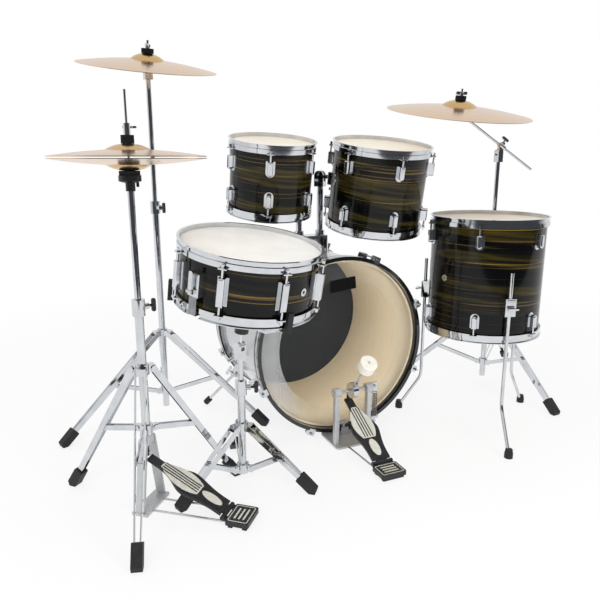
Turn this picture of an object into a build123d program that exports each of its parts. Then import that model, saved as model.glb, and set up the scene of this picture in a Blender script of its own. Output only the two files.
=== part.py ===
from build123d import *
import math
import os

# Acoustic drum kit of five drums, a crash, a ride and a pair of hi-hats.
# Millimetres. The floor is z = 0, the bass drum's axis runs along Y at x = 0, and the
# player sits on the -Y side. The origin lies on the floor under the batter hoop's edge.

INCH = 25.4
UP = Vector(0, 0, 1)
STAND = (Align.CENTER, Align.CENTER, Align.MIN)

# Fits between pieces
SEAT_GAP = 0.15      # between pieces bolted or pressed face to face
SLIDE_GAP = 0.3      # round a tube, leg or rod that slides
RUN_GAP = 0.05       # round a pin that turns in its bearing
PART_GAP = 0.4       # between two pieces that move past each other
BITE = 3             # how far shapes that are one piece run into each other

# Drum sizes: diameter and depth of each shell, number of lugs, compass angle of the first
LEFT_TOM_DIAMETER = 10 * INCH
LEFT_TOM_DEPTH = 8 * INCH
RIGHT_TOM_DIAMETER = 12 * INCH
RIGHT_TOM_DEPTH = 10 * INCH
FLOOR_TOM_DIAMETER = 14 * INCH
FLOOR_TOM_DEPTH = 14 * INCH
SNARE_DIAMETER = 14 * INCH
SNARE_DEPTH = 5.5 * INCH
BASS_DIAMETER = 22 * INCH
BASS_DEPTH = 16 * INCH
TOM_LUGS = 6
SNARE_LUGS = 8
BASS_LUGS = 8
LEFT_TOM_FIRST_LUG = -113
RIGHT_TOM_FIRST_LUG = -158
FLOOR_TOM_FIRST_LUG = -138
SNARE_FIRST_LUG = -38
BASS_FIRST_LUG = 22.5

# Where the drums are: middle of the batter head, lean from level and the way they lean
LEFT_TOM_X = -184
LEFT_TOM_Y = 135
LEFT_TOM_Z = 938
RIGHT_TOM_X = 171
RIGHT_TOM_Y = 81
RIGHT_TOM_Z = 929
TOM_LEAN = 10.5
TOM_LEAN_TOWARD = -90
FLOOR_TOM_NEAR_X = 296.2   # side of its shell towards the bass drum
FLOOR_TOM_Y = -92
FLOOR_TOM_Z = 703
LEFT_TOM_TOP = Vector(LEFT_TOM_X, LEFT_TOM_Y, LEFT_TOM_Z)
RIGHT_TOM_TOP = Vector(RIGHT_TOM_X, RIGHT_TOM_Y, RIGHT_TOM_Z)
FLOOR_TOM_TOP = Vector(FLOOR_TOM_NEAR_X + FLOOR_TOM_DIAMETER / 2, FLOOR_TOM_Y, FLOOR_TOM_Z)
SNARE_LEAN = 10
SNARE_LEAN_TOWARD = -63

# Shells, heads and pressed steel hoops
SHELL_WALL = 6
BASS_WALL = 7
FILM = 0.6           # head film
COLLAR_GAP = 0.4     # head collar round the shell
FLESH_WIDTH = 4.6    # ring that the film is bonded into
FLESH_HEIGHT = 6
FLESH_DROP = 3       # from the bearing edge down to that ring
HOOP_SHEET = 2
HOOP_RISE = 12       # hoop above the bearing edge
HOOP_LIP = 7
HOOP_SKIRT = 14      # hoop below the bearing edge
EAR_WIDTH = 22
EAR_THICK = 3
EAR_MARGIN = 6       # ear beyond the rod's axis

# Tension rods and lugs
ROD_RADIUS = 2.8
ROD_OFFSET = 13.5    # rod axis from the shell
ROD_ENGAGE = 16      # rod inside its lug
ROD_WASHER = 5.5
ROD_WASHER_THICK = 1.5
ROD_KEY = 6.4        # square head
ROD_KEY_HEIGHT = 8
LUG_WIDTH = 27
LUG_HEIGHT = 46
LUG_COVER = 7        # lug beyond the rod's axis
LUG_DROP = 34        # bearing edge to the lug's flat end
LUG_ROUND = 4
LUG_FLANGE = 5.5     # base plate beyond the raised body
LUG_FLANGE_RISE = 3
BOX_LUG_WIDTH = 28
BOX_LUG_HEIGHT = 70
VENT_RADIUS = 4
VENT_FLANGE = 10
VENT_FLANGE_THICK = 1.5
VENT_WALL = 2

# Bass drum hoops, claws and lugs
BASS_FLESH_DROP = 14
BASS_FLESH_WIDTH = 8
BASS_HOOP_WIDTH = 36
BASS_HOOP_THICK = 12
CLAW_WIDTH = 22
CLAW_LENGTH = 20
CLAW_LIP = 8         # claw over the hoop's edge
CLAW_WALL = 4
CLAW_ROD_RISE = 9    # rod axis from the hoop's outside
BASS_LUG_DROP = 52

# Snare strainer and wires
THROW_OFF_ANGLE = -150
SNARE_VENT_ANGLE = -60.5
STRAINER_WIDTH = 34
STRAINER_HEIGHT = 58
STRAINER_DEPTH = 17
STRAINER_ROUND = 3
BUTT_HEIGHT = 36
LEVER_LENGTH = 46
LEVER_WIDTH = 12
LEVER_HUB = 5
LEVER_PIN = 2
LEVER_CHEEK = 3
WIRE_COUNT = 20
WIRE_RADIUS = 0.8
WIRE_SPACING = 2.2
WIRE_MARGIN = 30     # wires short of the shell at each end
WIRE_PLATE_LENGTH = 12
WIRE_PLATE_THICK = 2
STRAP_WIDTH = 24
STRAP_THICK = 1

# Tom holder on the bass drum, and the tilting arms
HOLDER_Y = 265
HOLDER_HEIGHT = 50
HOLDER_LENGTH = 60
HOLDER_ROUND = 12
POST_SPREAD = 40
POST_RADIUS = 11
POST_SINK = 36
LOCK_WALL = 6
LOCK_HEIGHT = 16
TILT_HUB_RADIUS = 17
TILT_HUB_WIDTH = 13
TILT_PIN = 5
FORK_CHEEK = 6
FORK_STEM = 36
ARM_RADIUS = 6
BRACKET_WIDTH = 36
BRACKET_HEIGHT = 42
BRACKET_DEPTH = 22
BRACKET_ROUND = 4

# Bass drum spurs
SPUR_Y = 352
SPUR_ANGLE = 214
SPUR_SPLAY = 53      # leg below level, seen along the drum
SPUR_RAKE = 25       # leg swung towards the front
SPUR_STAND_OFF = 30  # pivot from the shell
SPUR_RADIUS = 5.5
SPUR_TIP_RADIUS = 11
SPUR_TIP_LENGTH = 24

# Floor tom legs
LEG_ANGLES = (-108, 12, 132)
LEG_RADIUS = 5.5
LEG_OFFSET = 17      # leg axis from the shell
LEG_FOOT_OFFSET = 92.2     # foot's middle from the shell
LEG_TOP_Z = 560
LEG_BEND_Z = 135
LEG_BEND_RADIUS = 70
LEG_FOOT_HEIGHT = 28
LEG_FOOT_WIDTH = 13
LEG_BRACKET_Z = 455
LEG_BRACKET_HEIGHT = 56
LEG_BRACKET_WIDTH = 34
FLOOR_TOM_VENT_ANGLE = -174

# Stand tubes, clamps and wing bolts
BASE_TUBE_RADIUS = 11
UPPER_TUBE_RADIUS = 8
TUBE_WALL = 1.5
BASE_TUBE_BOTTOM = 28
CLAMP_WALL = 5
CLAMP_SKIRT = 26     # clamp below the base tube's end
CLAMP_CAP = 15       # clamp above it
BOSS_RADIUS = 8
BOSS_LENGTH = 11
WING_SHANK = 3.5
WING_SHANK_LENGTH = 9
WING_SPAN = 34
WING_HEIGHT = 11
WING_THICK = 5

# Double-braced tripods
STRIP_WIDTH = 15
STRIP_THICK = 3
LEG_SPREAD = 14      # half the distance between a leg's strips at the collar
FOOT_SPREAD = 6
BRACE_THICK = 2.5
BRACE_WIDTH = 13
BRACE_MEETS = 0.5    # share of the leg where the brace is riveted
RIVET_RADIUS = 2.5
COLLAR_WALL = 6
COLLAR_HEIGHT = 26
PIVOT_REACH = 14     # leg pivot from the tube's surface
BOOT_LENGTH = 44
BOOT_HALF_WIDTH = 13
BOOT_HALF_DEPTH = 13
BOOT_AXIS_Z = 14
BOOT_NOSE = 14
BOOT_ROUND = 3

# Crash stand
CRASH_X = -497
CRASH_Y = 411
CRASH_CLAMP_Z = 739
CRASH_TUBE_INSERT = 300
CRASH_PIVOT_Z = 1170
CRASH_LEAN = 12
CRASH_LEAN_TOWARD = -84
CRASH_UPPER_COLLAR = 301
CRASH_LOWER_COLLAR = 89
CRASH_FOOT_RADIUS = 370
CRASH_FIRST_FOOT = 80
CRASH_WING_ANGLE = -60

# Ride stand with boom
RIDE_X = 748
RIDE_Y = 190
RIDE_CLAMP_Z = 600
RIDE_TUBE_INSERT = 250
RIDE_PIVOT_Z = 914
RIDE_UPPER_COLLAR = 300
RIDE_LOWER_COLLAR = 89
RIDE_FOOT_RADIUS = 360
RIDE_FIRST_FOOT = -87
RIDE_WING_ANGLE = -60
BOOM_ELEVATION = 29
BOOM_OFFSET = 24     # boom axis from its pivot
BOOM_RADIUS = 5
BOOM_REACH = 240
BOOM_TAIL = 175
BOOM_CLAMP_LENGTH = 26
RIDE_LEAN = 11
RIDE_LEAN_TOWARD = -94

# Hi-hat stand
HAT_X = -656
HAT_Y = -160
HAT_EDGE_Z = 893
HAT_OPENING = 3
HAT_CLAMP_Z = 544
HAT_TUBE_INSERT = 130
HAT_TUBE_BOTTOM = 183
HAT_ROD_RADIUS = 3
HAT_ROD_TOP = 1043
HAT_UPPER_COLLAR = 380
HAT_LOWER_COLLAR = 218
HAT_FOOT_RADIUS = 255
HAT_FIRST_FOOT = 13
HAT_WING_ANGLE = 20
CLUTCH_WING_ANGLE = 66
HAT_PEDAL_ANGLE = -41
HAT_SOCKET_HEIGHT = 21
HAT_FRAME_HALF_WIDTH = 50
HAT_BASE_THICK = 8
HAT_BASE_DEPTH = 44
HAT_STRUT_WIDTH = 24
HAT_STRUT_THICK = 7
HAT_SPRING_LENGTH = 130
HAT_EYE_HEIGHT = 11
SEAT_CUP_RADIUS = 26
SEAT_CUP_HEIGHT = 18
SEAT_FELT_RADIUS = 24
SEAT_SLEEVE_RADIUS = 11
SEAT_SLEEVE_HEIGHT = 18
CHAIN_LINKS = 4
CHAIN_WIDTH = 9
CHAIN_DEPTH = 6
CLUTCH_HEIGHT = 26
HAT_FELT_RADIUS = 15
HAT_FELT_HEIGHT = 10

# Snare stand
SNARE_STAND_X = -396
SNARE_STAND_Y = -148
SNARE_CLAMP_Z = 290
SNARE_TUBE_INSERT = 130
SNARE_PIVOT_Z = 403
SNARE_SEAT = 128     # pivot to the hoop that rests in the basket
SNARE_UPPER_COLLAR = 169
SNARE_LOWER_COLLAR = 44
SNARE_FOOT_RADIUS = 200
SNARE_FIRST_FOOT = -40.5
SNARE_WING_ANGLE = -20
BASKET_ANGLES = (-76, 44, 164)
BASKET_ARM_RADIUS = 5
BASKET_HUB_RADIUS = 22
BASKET_STEM_RADIUS = 5.8
BASKET_HUB_LOW = 62
BASKET_HUB_HIGH = 76
BASKET_KNOB_RADIUS = 19
BASKET_KNOB_LOW = 40
TIP_WIDTH = 16
TIP_THICK = 11
TIP_RISE = 42

# Cymbals and the felts on their posts
CYMBAL_THICK = 1.5
CYMBAL_HOLE = 6.5
CRASH_DIAMETER = 17 * INCH
CRASH_BELL_RADIUS = 52
CRASH_BELL_RISE = 18
CRASH_BOW_RISE = 22
RIDE_DIAMETER = 20 * INCH
RIDE_BELL_RADIUS = 62
RIDE_BELL_RISE = 20
RIDE_BOW_RISE = 24
HAT_DIAMETER = 14 * INCH
HAT_BELL_RADIUS = 52
HAT_BELL_RISE = 13
HAT_BOW_RISE = 14
TILTER_HUB_RADIUS = 11
TILTER_HUB_WIDTH = 12
POST_ROD_RADIUS = 4
POST_ROD_LENGTH = 80
SLEEVE_RADIUS = 5.6
FELT_RADIUS = 19
FELT_HEIGHT = 14
FELT_DISH = 1.6       # how far the lower felt's edge is pressed down by the bell
FELT_CUP_HEIGHT = 8
CYMBAL_HEIGHT = 40   # pivot to the underside of the bell
NUT_RADIUS = 8
NUT_HEIGHT = 9

# Bass drum pedal, and the footboards shared by both pedals
PLATE_THICK = 6
PLATE_HALF_WIDTH = 68
PLATE_BACK = 96
PLATE_FRONT = 26
PLATE_ROUND = 10
PAD_THICK = 4
JAW_HALF_WIDTH = 14
JAW_WALL = 9
AXLE_Y = -65
AXLE_Z = 180
AXLE_RADIUS = 5.5
AXLE_PROUD = 2       # axle beyond its bearings
PEDAL_POST_X = 57
PEDAL_POST_WIDTH = 16
PEDAL_POST_DEPTH = 20
PEDAL_POST_ROUND = 4
BEARING_RADIUS = 15
BEARING_LENGTH = 22
CAM_RADIUS = 25
CAM_WIDTH = 18
STRAP_PULL_WIDTH = 12
STRAP_PULL_THICK = 3
BEATER_REACH = 138
BEATER_LEAN = 38
BEATER_RADIUS = 27
BEATER_LENGTH = 36
BEATER_PROUD = 2      # shaft's end past the felt
BEATER_SHAFT = 4
BEATER_ROUND = 4
BEATER_SOCKET = 7.5
BEATER_SOCKET_LENGTH = 18
BEATER_SOCKET_FLOOR = 6
FOOTBOARD_LENGTH = 245
FOOTBOARD_SLOPE = 27.5
FOOTBOARD_THICK = 7
FOOTBOARD_TOE = 13   # half widths
FOOTBOARD_LEAF = 44
FOOTBOARD_WAIST = 30
HINGE_Z = 22
HINGE_PIN = 2.5
HINGE_KNUCKLE = 6
HINGE_KNUCKLE_HALF = 17
HEEL_LENGTH = 62
HEEL_HALF_WIDTH = 40
HEEL_THICK = 12
HEEL_ROUND = 6
HEEL_GAP = 3         # heel plate behind the hinge's knuckles
HEEL_SINK = 1        # its top below the hinge's axis
HEEL_FOOT = 4
RADIUS_ROD = 3       # wires that tie the heel plate to the frame
RADIUS_ROD_X = 28
SPRING_RADIUS = 7
SPRING_WIRE = 1.1
SPRING_TURNS = 13
SPRING_PITCH = 6
SPRING_X = 82
SPRING_TOP_Z = 158
ANCHOR_DEPTH = 7     # lugs that hold the spring's two ends
ANCHOR_HEIGHT = 10


def polar(radius, angle, z=0.0):
    """Point at a radius and compass angle round the Z axis."""
    turn = math.radians(angle)
    return Vector(radius * math.cos(turn), radius * math.sin(turn), z)


def rod(start, end, radius):
    """Round bar between two points."""
    run = end - start
    return Plane(origin=start, z_dir=run).location * Cylinder(radius, run.length, align=STAND)


def ring(outer, inner, low, high):
    """Ring round the Z axis between two heights."""
    return Pos(0, 0, low) * extrude(Circle(outer) - Circle(inner), high - low)


def turned(*points):
    """Solid turned about the Z axis from its half section, given as radius and height."""
    return revolve(Plane.XZ * make_face(Polyline(*points, close=True)), Axis.Z)


def strip(start, end, width, thick, side):
    """Flat bar with round ends between two points, its thickness along side."""
    run = end - start
    flat = Plane(origin=(start + end) / 2, x_dir=run, z_dir=side - run * (side.dot(run) / run.dot(run)))
    return flat.location * extrude(SlotCenterToCenter(run.length, width), thick / 2, both=True)


def placed(where, solids):
    """Copies of solids carried to a frame."""
    return [where.location * solid for solid in solids]


def leaning(origin, lean, toward):
    """Upright frame tipped by lean degrees towards a compass angle."""
    hinge = Axis((0, 0, 0), polar(1, toward + 90))
    return Plane(origin, x_dir=Vector(1, 0, 0).rotate(hinge, lean), z_dir=UP.rotate(hinge, lean))


def outward(angle, z=0.0, flipped=False):
    """Frame on a shell: x round it, y along its axis, z outwards from the axis."""
    across = polar(-1 if flipped else 1, angle + 90)
    return Plane((0, 0, z), x_dir=across, z_dir=polar(1, angle))


def lug_angles(count, first):
    return [first + 360 * i / count for i in range(count)]


def save(node, *solids):
    """Write one named piece, or one group of like pieces."""
    pieces = [solid for shape in solids for solid in shape.solids()]
    export_step(Compound(pieces), f"parts/{node}.step")


# Drums

def shell(diameter, depth, wall, vent_angle=None):
    """Wooden shell about the origin, with its air vent where one is given."""
    body = ring(diameter / 2, diameter / 2 - wall, -depth / 2, depth / 2)
    if vent_angle is not None:
        drill = VENT_RADIUS + VENT_WALL + SEAT_GAP
        body -= rod(polar(diameter / 2 - 2 * wall, vent_angle), polar(diameter, vent_angle), drill)
    return body


def vent(diameter, wall, angle):
    """Metal grommet that lines the air vent."""
    radius = diameter / 2
    start, end = polar(radius - wall, angle), polar(radius + VENT_FLANGE_THICK, angle)
    flange = rod(start, end, VENT_FLANGE) - Cylinder(radius + SEAT_GAP, VENT_FLANGE * 4)
    bore = rod(polar(radius / 2, angle), polar(radius * 2, angle), VENT_RADIUS)
    return rod(start, end, VENT_RADIUS + VENT_WALL) + flange - bore


def head(radius, flesh_width, flesh_drop):
    """Film, collar and flesh ring in one, with the bearing edge at z = 0."""
    inner = radius + COLLAR_GAP
    low = -flesh_drop - FLESH_HEIGHT
    return turned(
        (0, SEAT_GAP), (inner, SEAT_GAP), (inner, low), (inner + flesh_width, low),
        (inner + flesh_width, -flesh_drop), (inner + FILM, -flesh_drop),
        (inner + FILM, SEAT_GAP + FILM), (0, SEAT_GAP + FILM))


def flanged_hoop(radius, angles):
    """Triple-flanged steel hoop with an ear for each rod, bearing edge at z = 0."""
    wall = radius + COLLAR_GAP + FILM + 2 * SEAT_GAP
    skirt = radius + COLLAR_GAP + FLESH_WIDTH + SEAT_GAP
    seat = SEAT_GAP - FLESH_DROP
    hoop = turned(
        (wall, seat), (wall, HOOP_RISE), (wall + HOOP_LIP, HOOP_RISE),
        (wall + HOOP_LIP, HOOP_RISE - HOOP_SHEET), (wall + HOOP_SHEET, HOOP_RISE - HOOP_SHEET),
        (wall + HOOP_SHEET, seat + HOOP_SHEET), (skirt + HOOP_SHEET, seat + HOOP_SHEET),
        (skirt + HOOP_SHEET, -HOOP_SKIRT), (skirt, -HOOP_SKIRT), (skirt, seat))
    reach = radius + ROD_OFFSET + EAR_MARGIN
    root = skirt + HOOP_SHEET / 2
    ear = Pos((root + reach) / 2, 0) * RectangleRounded(reach - root, EAR_WIDTH, EAR_MARGIN / 2)
    ear -= Pos(radius + ROD_OFFSET, 0) * Circle(ROD_RADIUS + SLIDE_GAP)
    ear = Pos(0, 0, -HOOP_SKIRT) * extrude(ear, EAR_THICK)
    return hoop + [Rot(0, 0, angle) * ear for angle in angles]


def tension_rod(length):
    """Rod with washer and square key head; its ear's top is z = 0 and it runs down."""
    shank = Pos(0, 0, -length) * Cylinder(ROD_RADIUS, length + ROD_WASHER_THICK, align=STAND)
    washer = Pos(0, 0, SEAT_GAP) * Cylinder(ROD_WASHER, ROD_WASHER_THICK, align=STAND)
    key = Pos(0, 0, ROD_WASHER_THICK) * Box(ROD_KEY, ROD_KEY, ROD_KEY_HEIGHT, align=STAND)
    return shank + washer + key


def lug_on_base(radius, top, outline):
    """Raised lug body on its wider base plate; outline(margin) draws either, drawn in by margin."""
    low = radius - SHELL_WALL
    body = Pos(0, 0, low) * extrude(outline(LUG_FLANGE), top - low)
    body = fillet(body.faces().sort_by(Axis.Z)[-1].edges(), LUG_ROUND)
    return body + Pos(0, 0, low) * extrude(outline(0), LUG_FLANGE_RISE + SHELL_WALL)


def lug(radius, rod_offset):
    """D-shaped lug on a shell, in the frame of outward(), flat end at y = 0."""
    flat = LUG_HEIGHT - LUG_WIDTH / 2

    def outline(margin):
        width = LUG_WIDTH - 2 * margin
        return Pos(0, -flat / 2) * Rectangle(width, flat) + Pos(0, -flat) * Circle(width / 2)

    body = lug_on_base(radius, radius + rod_offset + LUG_COVER, outline)
    return drilled_for_rod(body, radius, rod_offset)


def box_lug(radius):
    """Double-ended box lug for a shallow shell, in the frame of outward()."""
    def outline(margin):
        return Rectangle(BOX_LUG_WIDTH - 2 * margin, BOX_LUG_HEIGHT)

    body = lug_on_base(radius, radius + ROD_OFFSET + LUG_COVER, outline)
    bore = Rot(90, 0, 0) * Cylinder(ROD_RADIUS + SLIDE_GAP, BOX_LUG_HEIGHT * 2)
    body -= Pos(0, 0, radius + ROD_OFFSET) * bore
    return body - Rot(90, 0, 0) * Cylinder(radius + SEAT_GAP, BOX_LUG_HEIGHT * 2)


def drilled_for_rod(body, radius, rod_offset):
    """Lug with its rod hole, seated on the round of the shell."""
    depth = 2 * (ROD_ENGAGE + PART_GAP)
    body -= Pos(0, 0, radius + rod_offset) * Rot(90, 0, 0) * Cylinder(ROD_RADIUS + SLIDE_GAP, depth)
    return body - Rot(90, 0, 0) * Cylinder(radius + SEAT_GAP, LUG_HEIGHT * 4)


def tom_lugs_and_rods(diameter, depth, angles):
    """Lugs and rods of both heads of a tom."""
    radius = diameter / 2
    one_lug = lug(radius, ROD_OFFSET)
    ear_top = depth / 2 - HOOP_SKIRT + EAR_THICK
    one_rod = tension_rod(ear_top - depth / 2 + LUG_DROP + ROD_ENGAGE)
    pieces = []
    for angle in angles:
        for flipped in (False, True):
            side = -1 if flipped else 1
            pieces.append(outward(angle, side * (depth / 2 - LUG_DROP), flipped).location * one_lug)
            foot = polar(radius + ROD_OFFSET, angle, side * ear_top)
            pieces.append(Plane(foot, x_dir=polar(1, angle), z_dir=UP * side).location * one_rod)
    return pieces


def snare_lugs_and_rods(angles):
    """Box lugs of the snare drum, each with a rod at both ends."""
    radius = SNARE_DIAMETER / 2
    one_lug = box_lug(radius)
    ear_top = SNARE_DEPTH / 2 - HOOP_SKIRT + EAR_THICK
    one_rod = tension_rod(ear_top - BOX_LUG_HEIGHT / 2 + ROD_ENGAGE)
    pieces = []
    for angle in angles:
        pieces.append(outward(angle).location * one_lug)
        for side in (1, -1):
            foot = polar(radius + ROD_OFFSET, angle, side * ear_top)
            pieces.append(Plane(foot, x_dir=polar(1, angle), z_dir=UP * side).location * one_rod)
    return pieces


def both_heads(diameter, depth, flesh_width=FLESH_WIDTH, flesh_drop=FLESH_DROP):
    """Batter head and resonant head of a drum about the origin."""
    one = head(diameter / 2, flesh_width, flesh_drop)
    return [Pos(0, 0, depth / 2) * one, Pos(0, 0, -depth / 2) * Rot(180, 0, 0) * one]


def both_hoops(diameter, depth, angles):
    """Steel hoops of a drum about the origin, ears in line."""
    top = flanged_hoop(diameter / 2, angles)
    low = flanged_hoop(diameter / 2, [-angle for angle in angles])
    return [Pos(0, 0, depth / 2) * top, Pos(0, 0, -depth / 2) * Rot(180, 0, 0) * low]


def bass_hoop():
    """Wooden hoop of the bass drum, bearing edge at z = 0."""
    inner = BASS_DIAMETER / 2 + COLLAR_GAP + FILM + 2 * SEAT_GAP
    low = SEAT_GAP - BASS_FLESH_DROP
    return ring(inner + BASS_HOOP_THICK, inner, low, low + BASS_HOOP_WIDTH)


BASS_HOOP_OUTER = BASS_DIAMETER / 2 + COLLAR_GAP + FILM + 2 * SEAT_GAP + BASS_HOOP_THICK
BASS_HOOP_EDGE = BASS_DEPTH / 2 + SEAT_GAP - BASS_FLESH_DROP + BASS_HOOP_WIDTH
BASS_Z = PLATE_THICK + PAD_THICK + 2 * SEAT_GAP + BASS_HOOP_OUTER
BASS = Plane((0, BASS_HOOP_EDGE, BASS_Z), x_dir=(1, 0, 0), z_dir=(0, -1, 0))


def bass_tension():
    """Claws, rods and lugs of both sides of the bass drum, about the origin."""
    radius = BASS_DIAMETER / 2
    axis_radius = BASS_HOOP_OUTER + CLAW_ROD_RISE
    one_lug = lug(radius, axis_radius - radius)
    top = BASS_HOOP_EDGE + SEAT_GAP + CLAW_WALL
    low = BASS_HOOP_EDGE - CLAW_LENGTH
    near = BASS_HOOP_OUTER + SEAT_GAP
    far = axis_radius + ROD_WASHER + PART_GAP
    outline = Polyline(
        (low, near), (BASS_HOOP_EDGE + SEAT_GAP, near), (BASS_HOOP_EDGE + SEAT_GAP, near - CLAW_LIP),
        (top, near - CLAW_LIP), (top, far), (low, far), close=True)
    section = Plane((0, 0, 0), x_dir=UP, z_dir=(0, 1, 0))
    claw = extrude(section * make_face(outline), CLAW_WIDTH / 2, both=True)
    claw = fillet(claw.edges().filter_by(Axis.Y).group_by(Axis.X)[-1], CLAW_WALL)
    claw -= rod(Vector(axis_radius, 0, 0), Vector(axis_radius, 0, BASS_DEPTH), ROD_RADIUS + SLIDE_GAP)
    lug_flat = BASS_DEPTH / 2 - BASS_LUG_DROP
    one_rod = tension_rod(top - lug_flat + ROD_ENGAGE)
    pieces = []
    for angle in lug_angles(BASS_LUGS, BASS_FIRST_LUG):
        for flipped in (False, True):
            side = -1 if flipped else 1
            pieces.append(outward(angle, side * lug_flat, flipped).location * one_lug)
            flip = Rot(180, 0, 0) if flipped else Rot(0, 0, 0)
            pieces.append(flip * Rot(0, 0, -angle if flipped else angle) * claw)
            foot = polar(axis_radius, angle, side * top)
            pieces.append(Plane(foot, x_dir=polar(1, angle), z_dir=UP * side).location * one_rod)
    return pieces


# Fittings used all over the kit

def wing_bolt(reach=WING_SHANK_LENGTH):
    """Wing bolt along z with its shank from z = 0."""
    wing = Pos(0, 0, reach + WING_HEIGHT / 2) * Rot(90, 0, 0) * extrude(
        SlotOverall(WING_SPAN, WING_HEIGHT), WING_THICK / 2, both=True)
    return Cylinder(WING_SHANK, reach + BITE, align=STAND) + wing


def bolt_at(point, direction, wings=None):
    """Wing bolt seated at a point, its wings turned to a given direction where one matters."""
    return Plane(point, x_dir=wings, z_dir=direction).location * wing_bolt()


def fork(hub_radius, hub_width, pin, cheek, stem):
    """Fork round a hub at the origin that turns about y; its stem reaches down to z = -stem."""
    inside = hub_width / 2 + PART_GAP
    outside = inside + cheek
    slot = hub_radius + 4 * PART_GAP
    outline = Circle(hub_radius) + Pos(0, -stem / 2) * Rectangle(2 * hub_radius, stem)
    body = extrude(Plane.XZ * outline, outside, both=True)
    body -= Pos(0, 0, -slot) * Box(4 * hub_radius, 2 * inside, slot + 2 * hub_radius, align=STAND)
    return body + Rot(90, 0, 0) * Cylinder(pin, 2 * outside)


def hub(radius, width, pin):
    """Hub that turns on a fork's pin, axis along y."""
    return Rot(90, 0, 0) * extrude(Circle(radius) - Circle(pin + RUN_GAP), width / 2, both=True)


def clamp(base_radius, upper_radius, wing_angle):
    """Height clamp on the end of a base tube at z = 0, and its wing bolt."""
    outer = base_radius + CLAMP_WALL
    body = turned(
        (base_radius + SEAT_GAP, -CLAMP_SKIRT), (outer, -CLAMP_SKIRT), (outer, CLAMP_CAP),
        (upper_radius + SLIDE_GAP, CLAMP_CAP), (upper_radius + SLIDE_GAP, SEAT_GAP),
        (base_radius + SEAT_GAP, SEAT_GAP))
    middle = (CLAMP_CAP - CLAMP_SKIRT) / 2
    boss_end = outer + BOSS_LENGTH
    boss_start = polar(base_radius + CLAMP_WALL / 2, wing_angle, middle)
    boss = rod(boss_start, polar(boss_end, wing_angle, middle), BOSS_RADIUS)
    bolt = bolt_at(polar(boss_end + SEAT_GAP, wing_angle, middle), polar(1, wing_angle), wings=UP)
    return [body + boss, bolt]


def base_tube(x, y, bottom, clamp_z, wing_angle):
    """Lower tube of a stand with the clamp that grips the upper tube."""
    pipe = ring(BASE_TUBE_RADIUS, BASE_TUBE_RADIUS - TUBE_WALL, bottom, clamp_z)
    grip = [Pos(0, 0, clamp_z) * piece for piece in clamp(BASE_TUBE_RADIUS, UPPER_TUBE_RADIUS, wing_angle)]
    return [Pos(x, y, 0) * piece for piece in [pipe] + grip]


def upper_tube(x, y, low, pivot_z, turn):
    """Upper tube of a stand, with a fork at its top whose hinge is turned to a compass angle."""
    top = pivot_z - FORK_STEM
    pipe = ring(UPPER_TUBE_RADIUS, UPPER_TUBE_RADIUS - TUBE_WALL, low, top + BITE)
    head_piece = fork(TILTER_HUB_RADIUS, TILTER_HUB_WIDTH, POST_ROD_RADIUS, FORK_CHEEK, FORK_STEM)
    return Pos(x, y, 0) * (pipe + Pos(0, 0, pivot_z) * Rot(0, 0, turn) * head_piece)


def tripod(x, y, upper_z, lower_z, foot_radius, first_foot):
    """Collars, double-strip legs, braces and rubber boots of a stand."""
    side = Vector(0, 1, 0)
    pivot_radius = BASE_TUBE_RADIUS + PIVOT_REACH
    top = Vector(pivot_radius, 0, upper_z)
    foot = Vector(foot_radius, 0, BOOT_AXIS_Z)
    rivet = top + (foot - top) * BRACE_MEETS
    heel = Vector(pivot_radius, 0, lower_z)
    spread_at_rivet = LEG_SPREAD + (FOOT_SPREAD - LEG_SPREAD) * BRACE_MEETS
    brace_spread = spread_at_rivet - STRIP_THICK / 2 - BRACE_THICK / 2 - PART_GAP

    leg = rod(top - side * LEG_SPREAD, top + side * LEG_SPREAD, RIVET_RADIUS)
    leg += rod(rivet - side * spread_at_rivet, rivet + side * spread_at_rivet, RIVET_RADIUS)
    leg += rod(foot - side * FOOT_SPREAD, foot + side * FOOT_SPREAD, RIVET_RADIUS)
    brace = rod(heel - side * brace_spread, heel + side * brace_spread, RIVET_RADIUS)
    for sign in (-1, 1):
        leg += strip(top + side * sign * LEG_SPREAD, foot + side * sign * FOOT_SPREAD,
                     STRIP_WIDTH, STRIP_THICK, side)
        brace += strip(heel + side * sign * brace_spread, rivet + side * sign * brace_spread,
                       BRACE_WIDTH, BRACE_THICK, side)
    brace -= rod(rivet - side * LEG_SPREAD, rivet + side * LEG_SPREAD, RIVET_RADIUS + RUN_GAP)
    boot = rubber_boot(top, foot) - leg

    upper = collar(upper_z, top, 2 * (LEG_SPREAD - STRIP_THICK / 2 - PART_GAP))
    lower = collar(lower_z, heel, 2 * (brace_spread - BRACE_THICK / 2 - PART_GAP))
    pieces = [upper, lower]
    for i in range(3):
        pieces += [Rot(0, 0, 120 * i) * piece for piece in (leg, brace, boot)]
    return [Pos(x, y, 0) * Rot(0, 0, first_foot) * piece for piece in pieces]


def rubber_boot(top, foot):
    """Rubber boot on the end of a leg, flat on the floor."""
    along = (foot - top).normalized()
    normal = Vector(-along.Z, 0, along.X)
    neck = foot - along * BOOT_LENGTH
    over, under = neck + normal * BOOT_HALF_DEPTH, neck - normal * BOOT_HALF_DEPTH
    heel = under - along * (under.Z / along.Z)
    nose = foot.X + BOOT_NOSE
    outline = Polyline((over.X, over.Z), (under.X, under.Z), (heel.X, 0), (nose, 0),
                       (nose + BOOT_NOSE / 4, BOOT_AXIS_Z), close=True)
    boot = extrude(Plane.XZ * make_face(outline), BOOT_HALF_WIDTH, both=True)
    return fillet(boot.edges().filter_by(Axis.Y), BOOT_ROUND)


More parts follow.
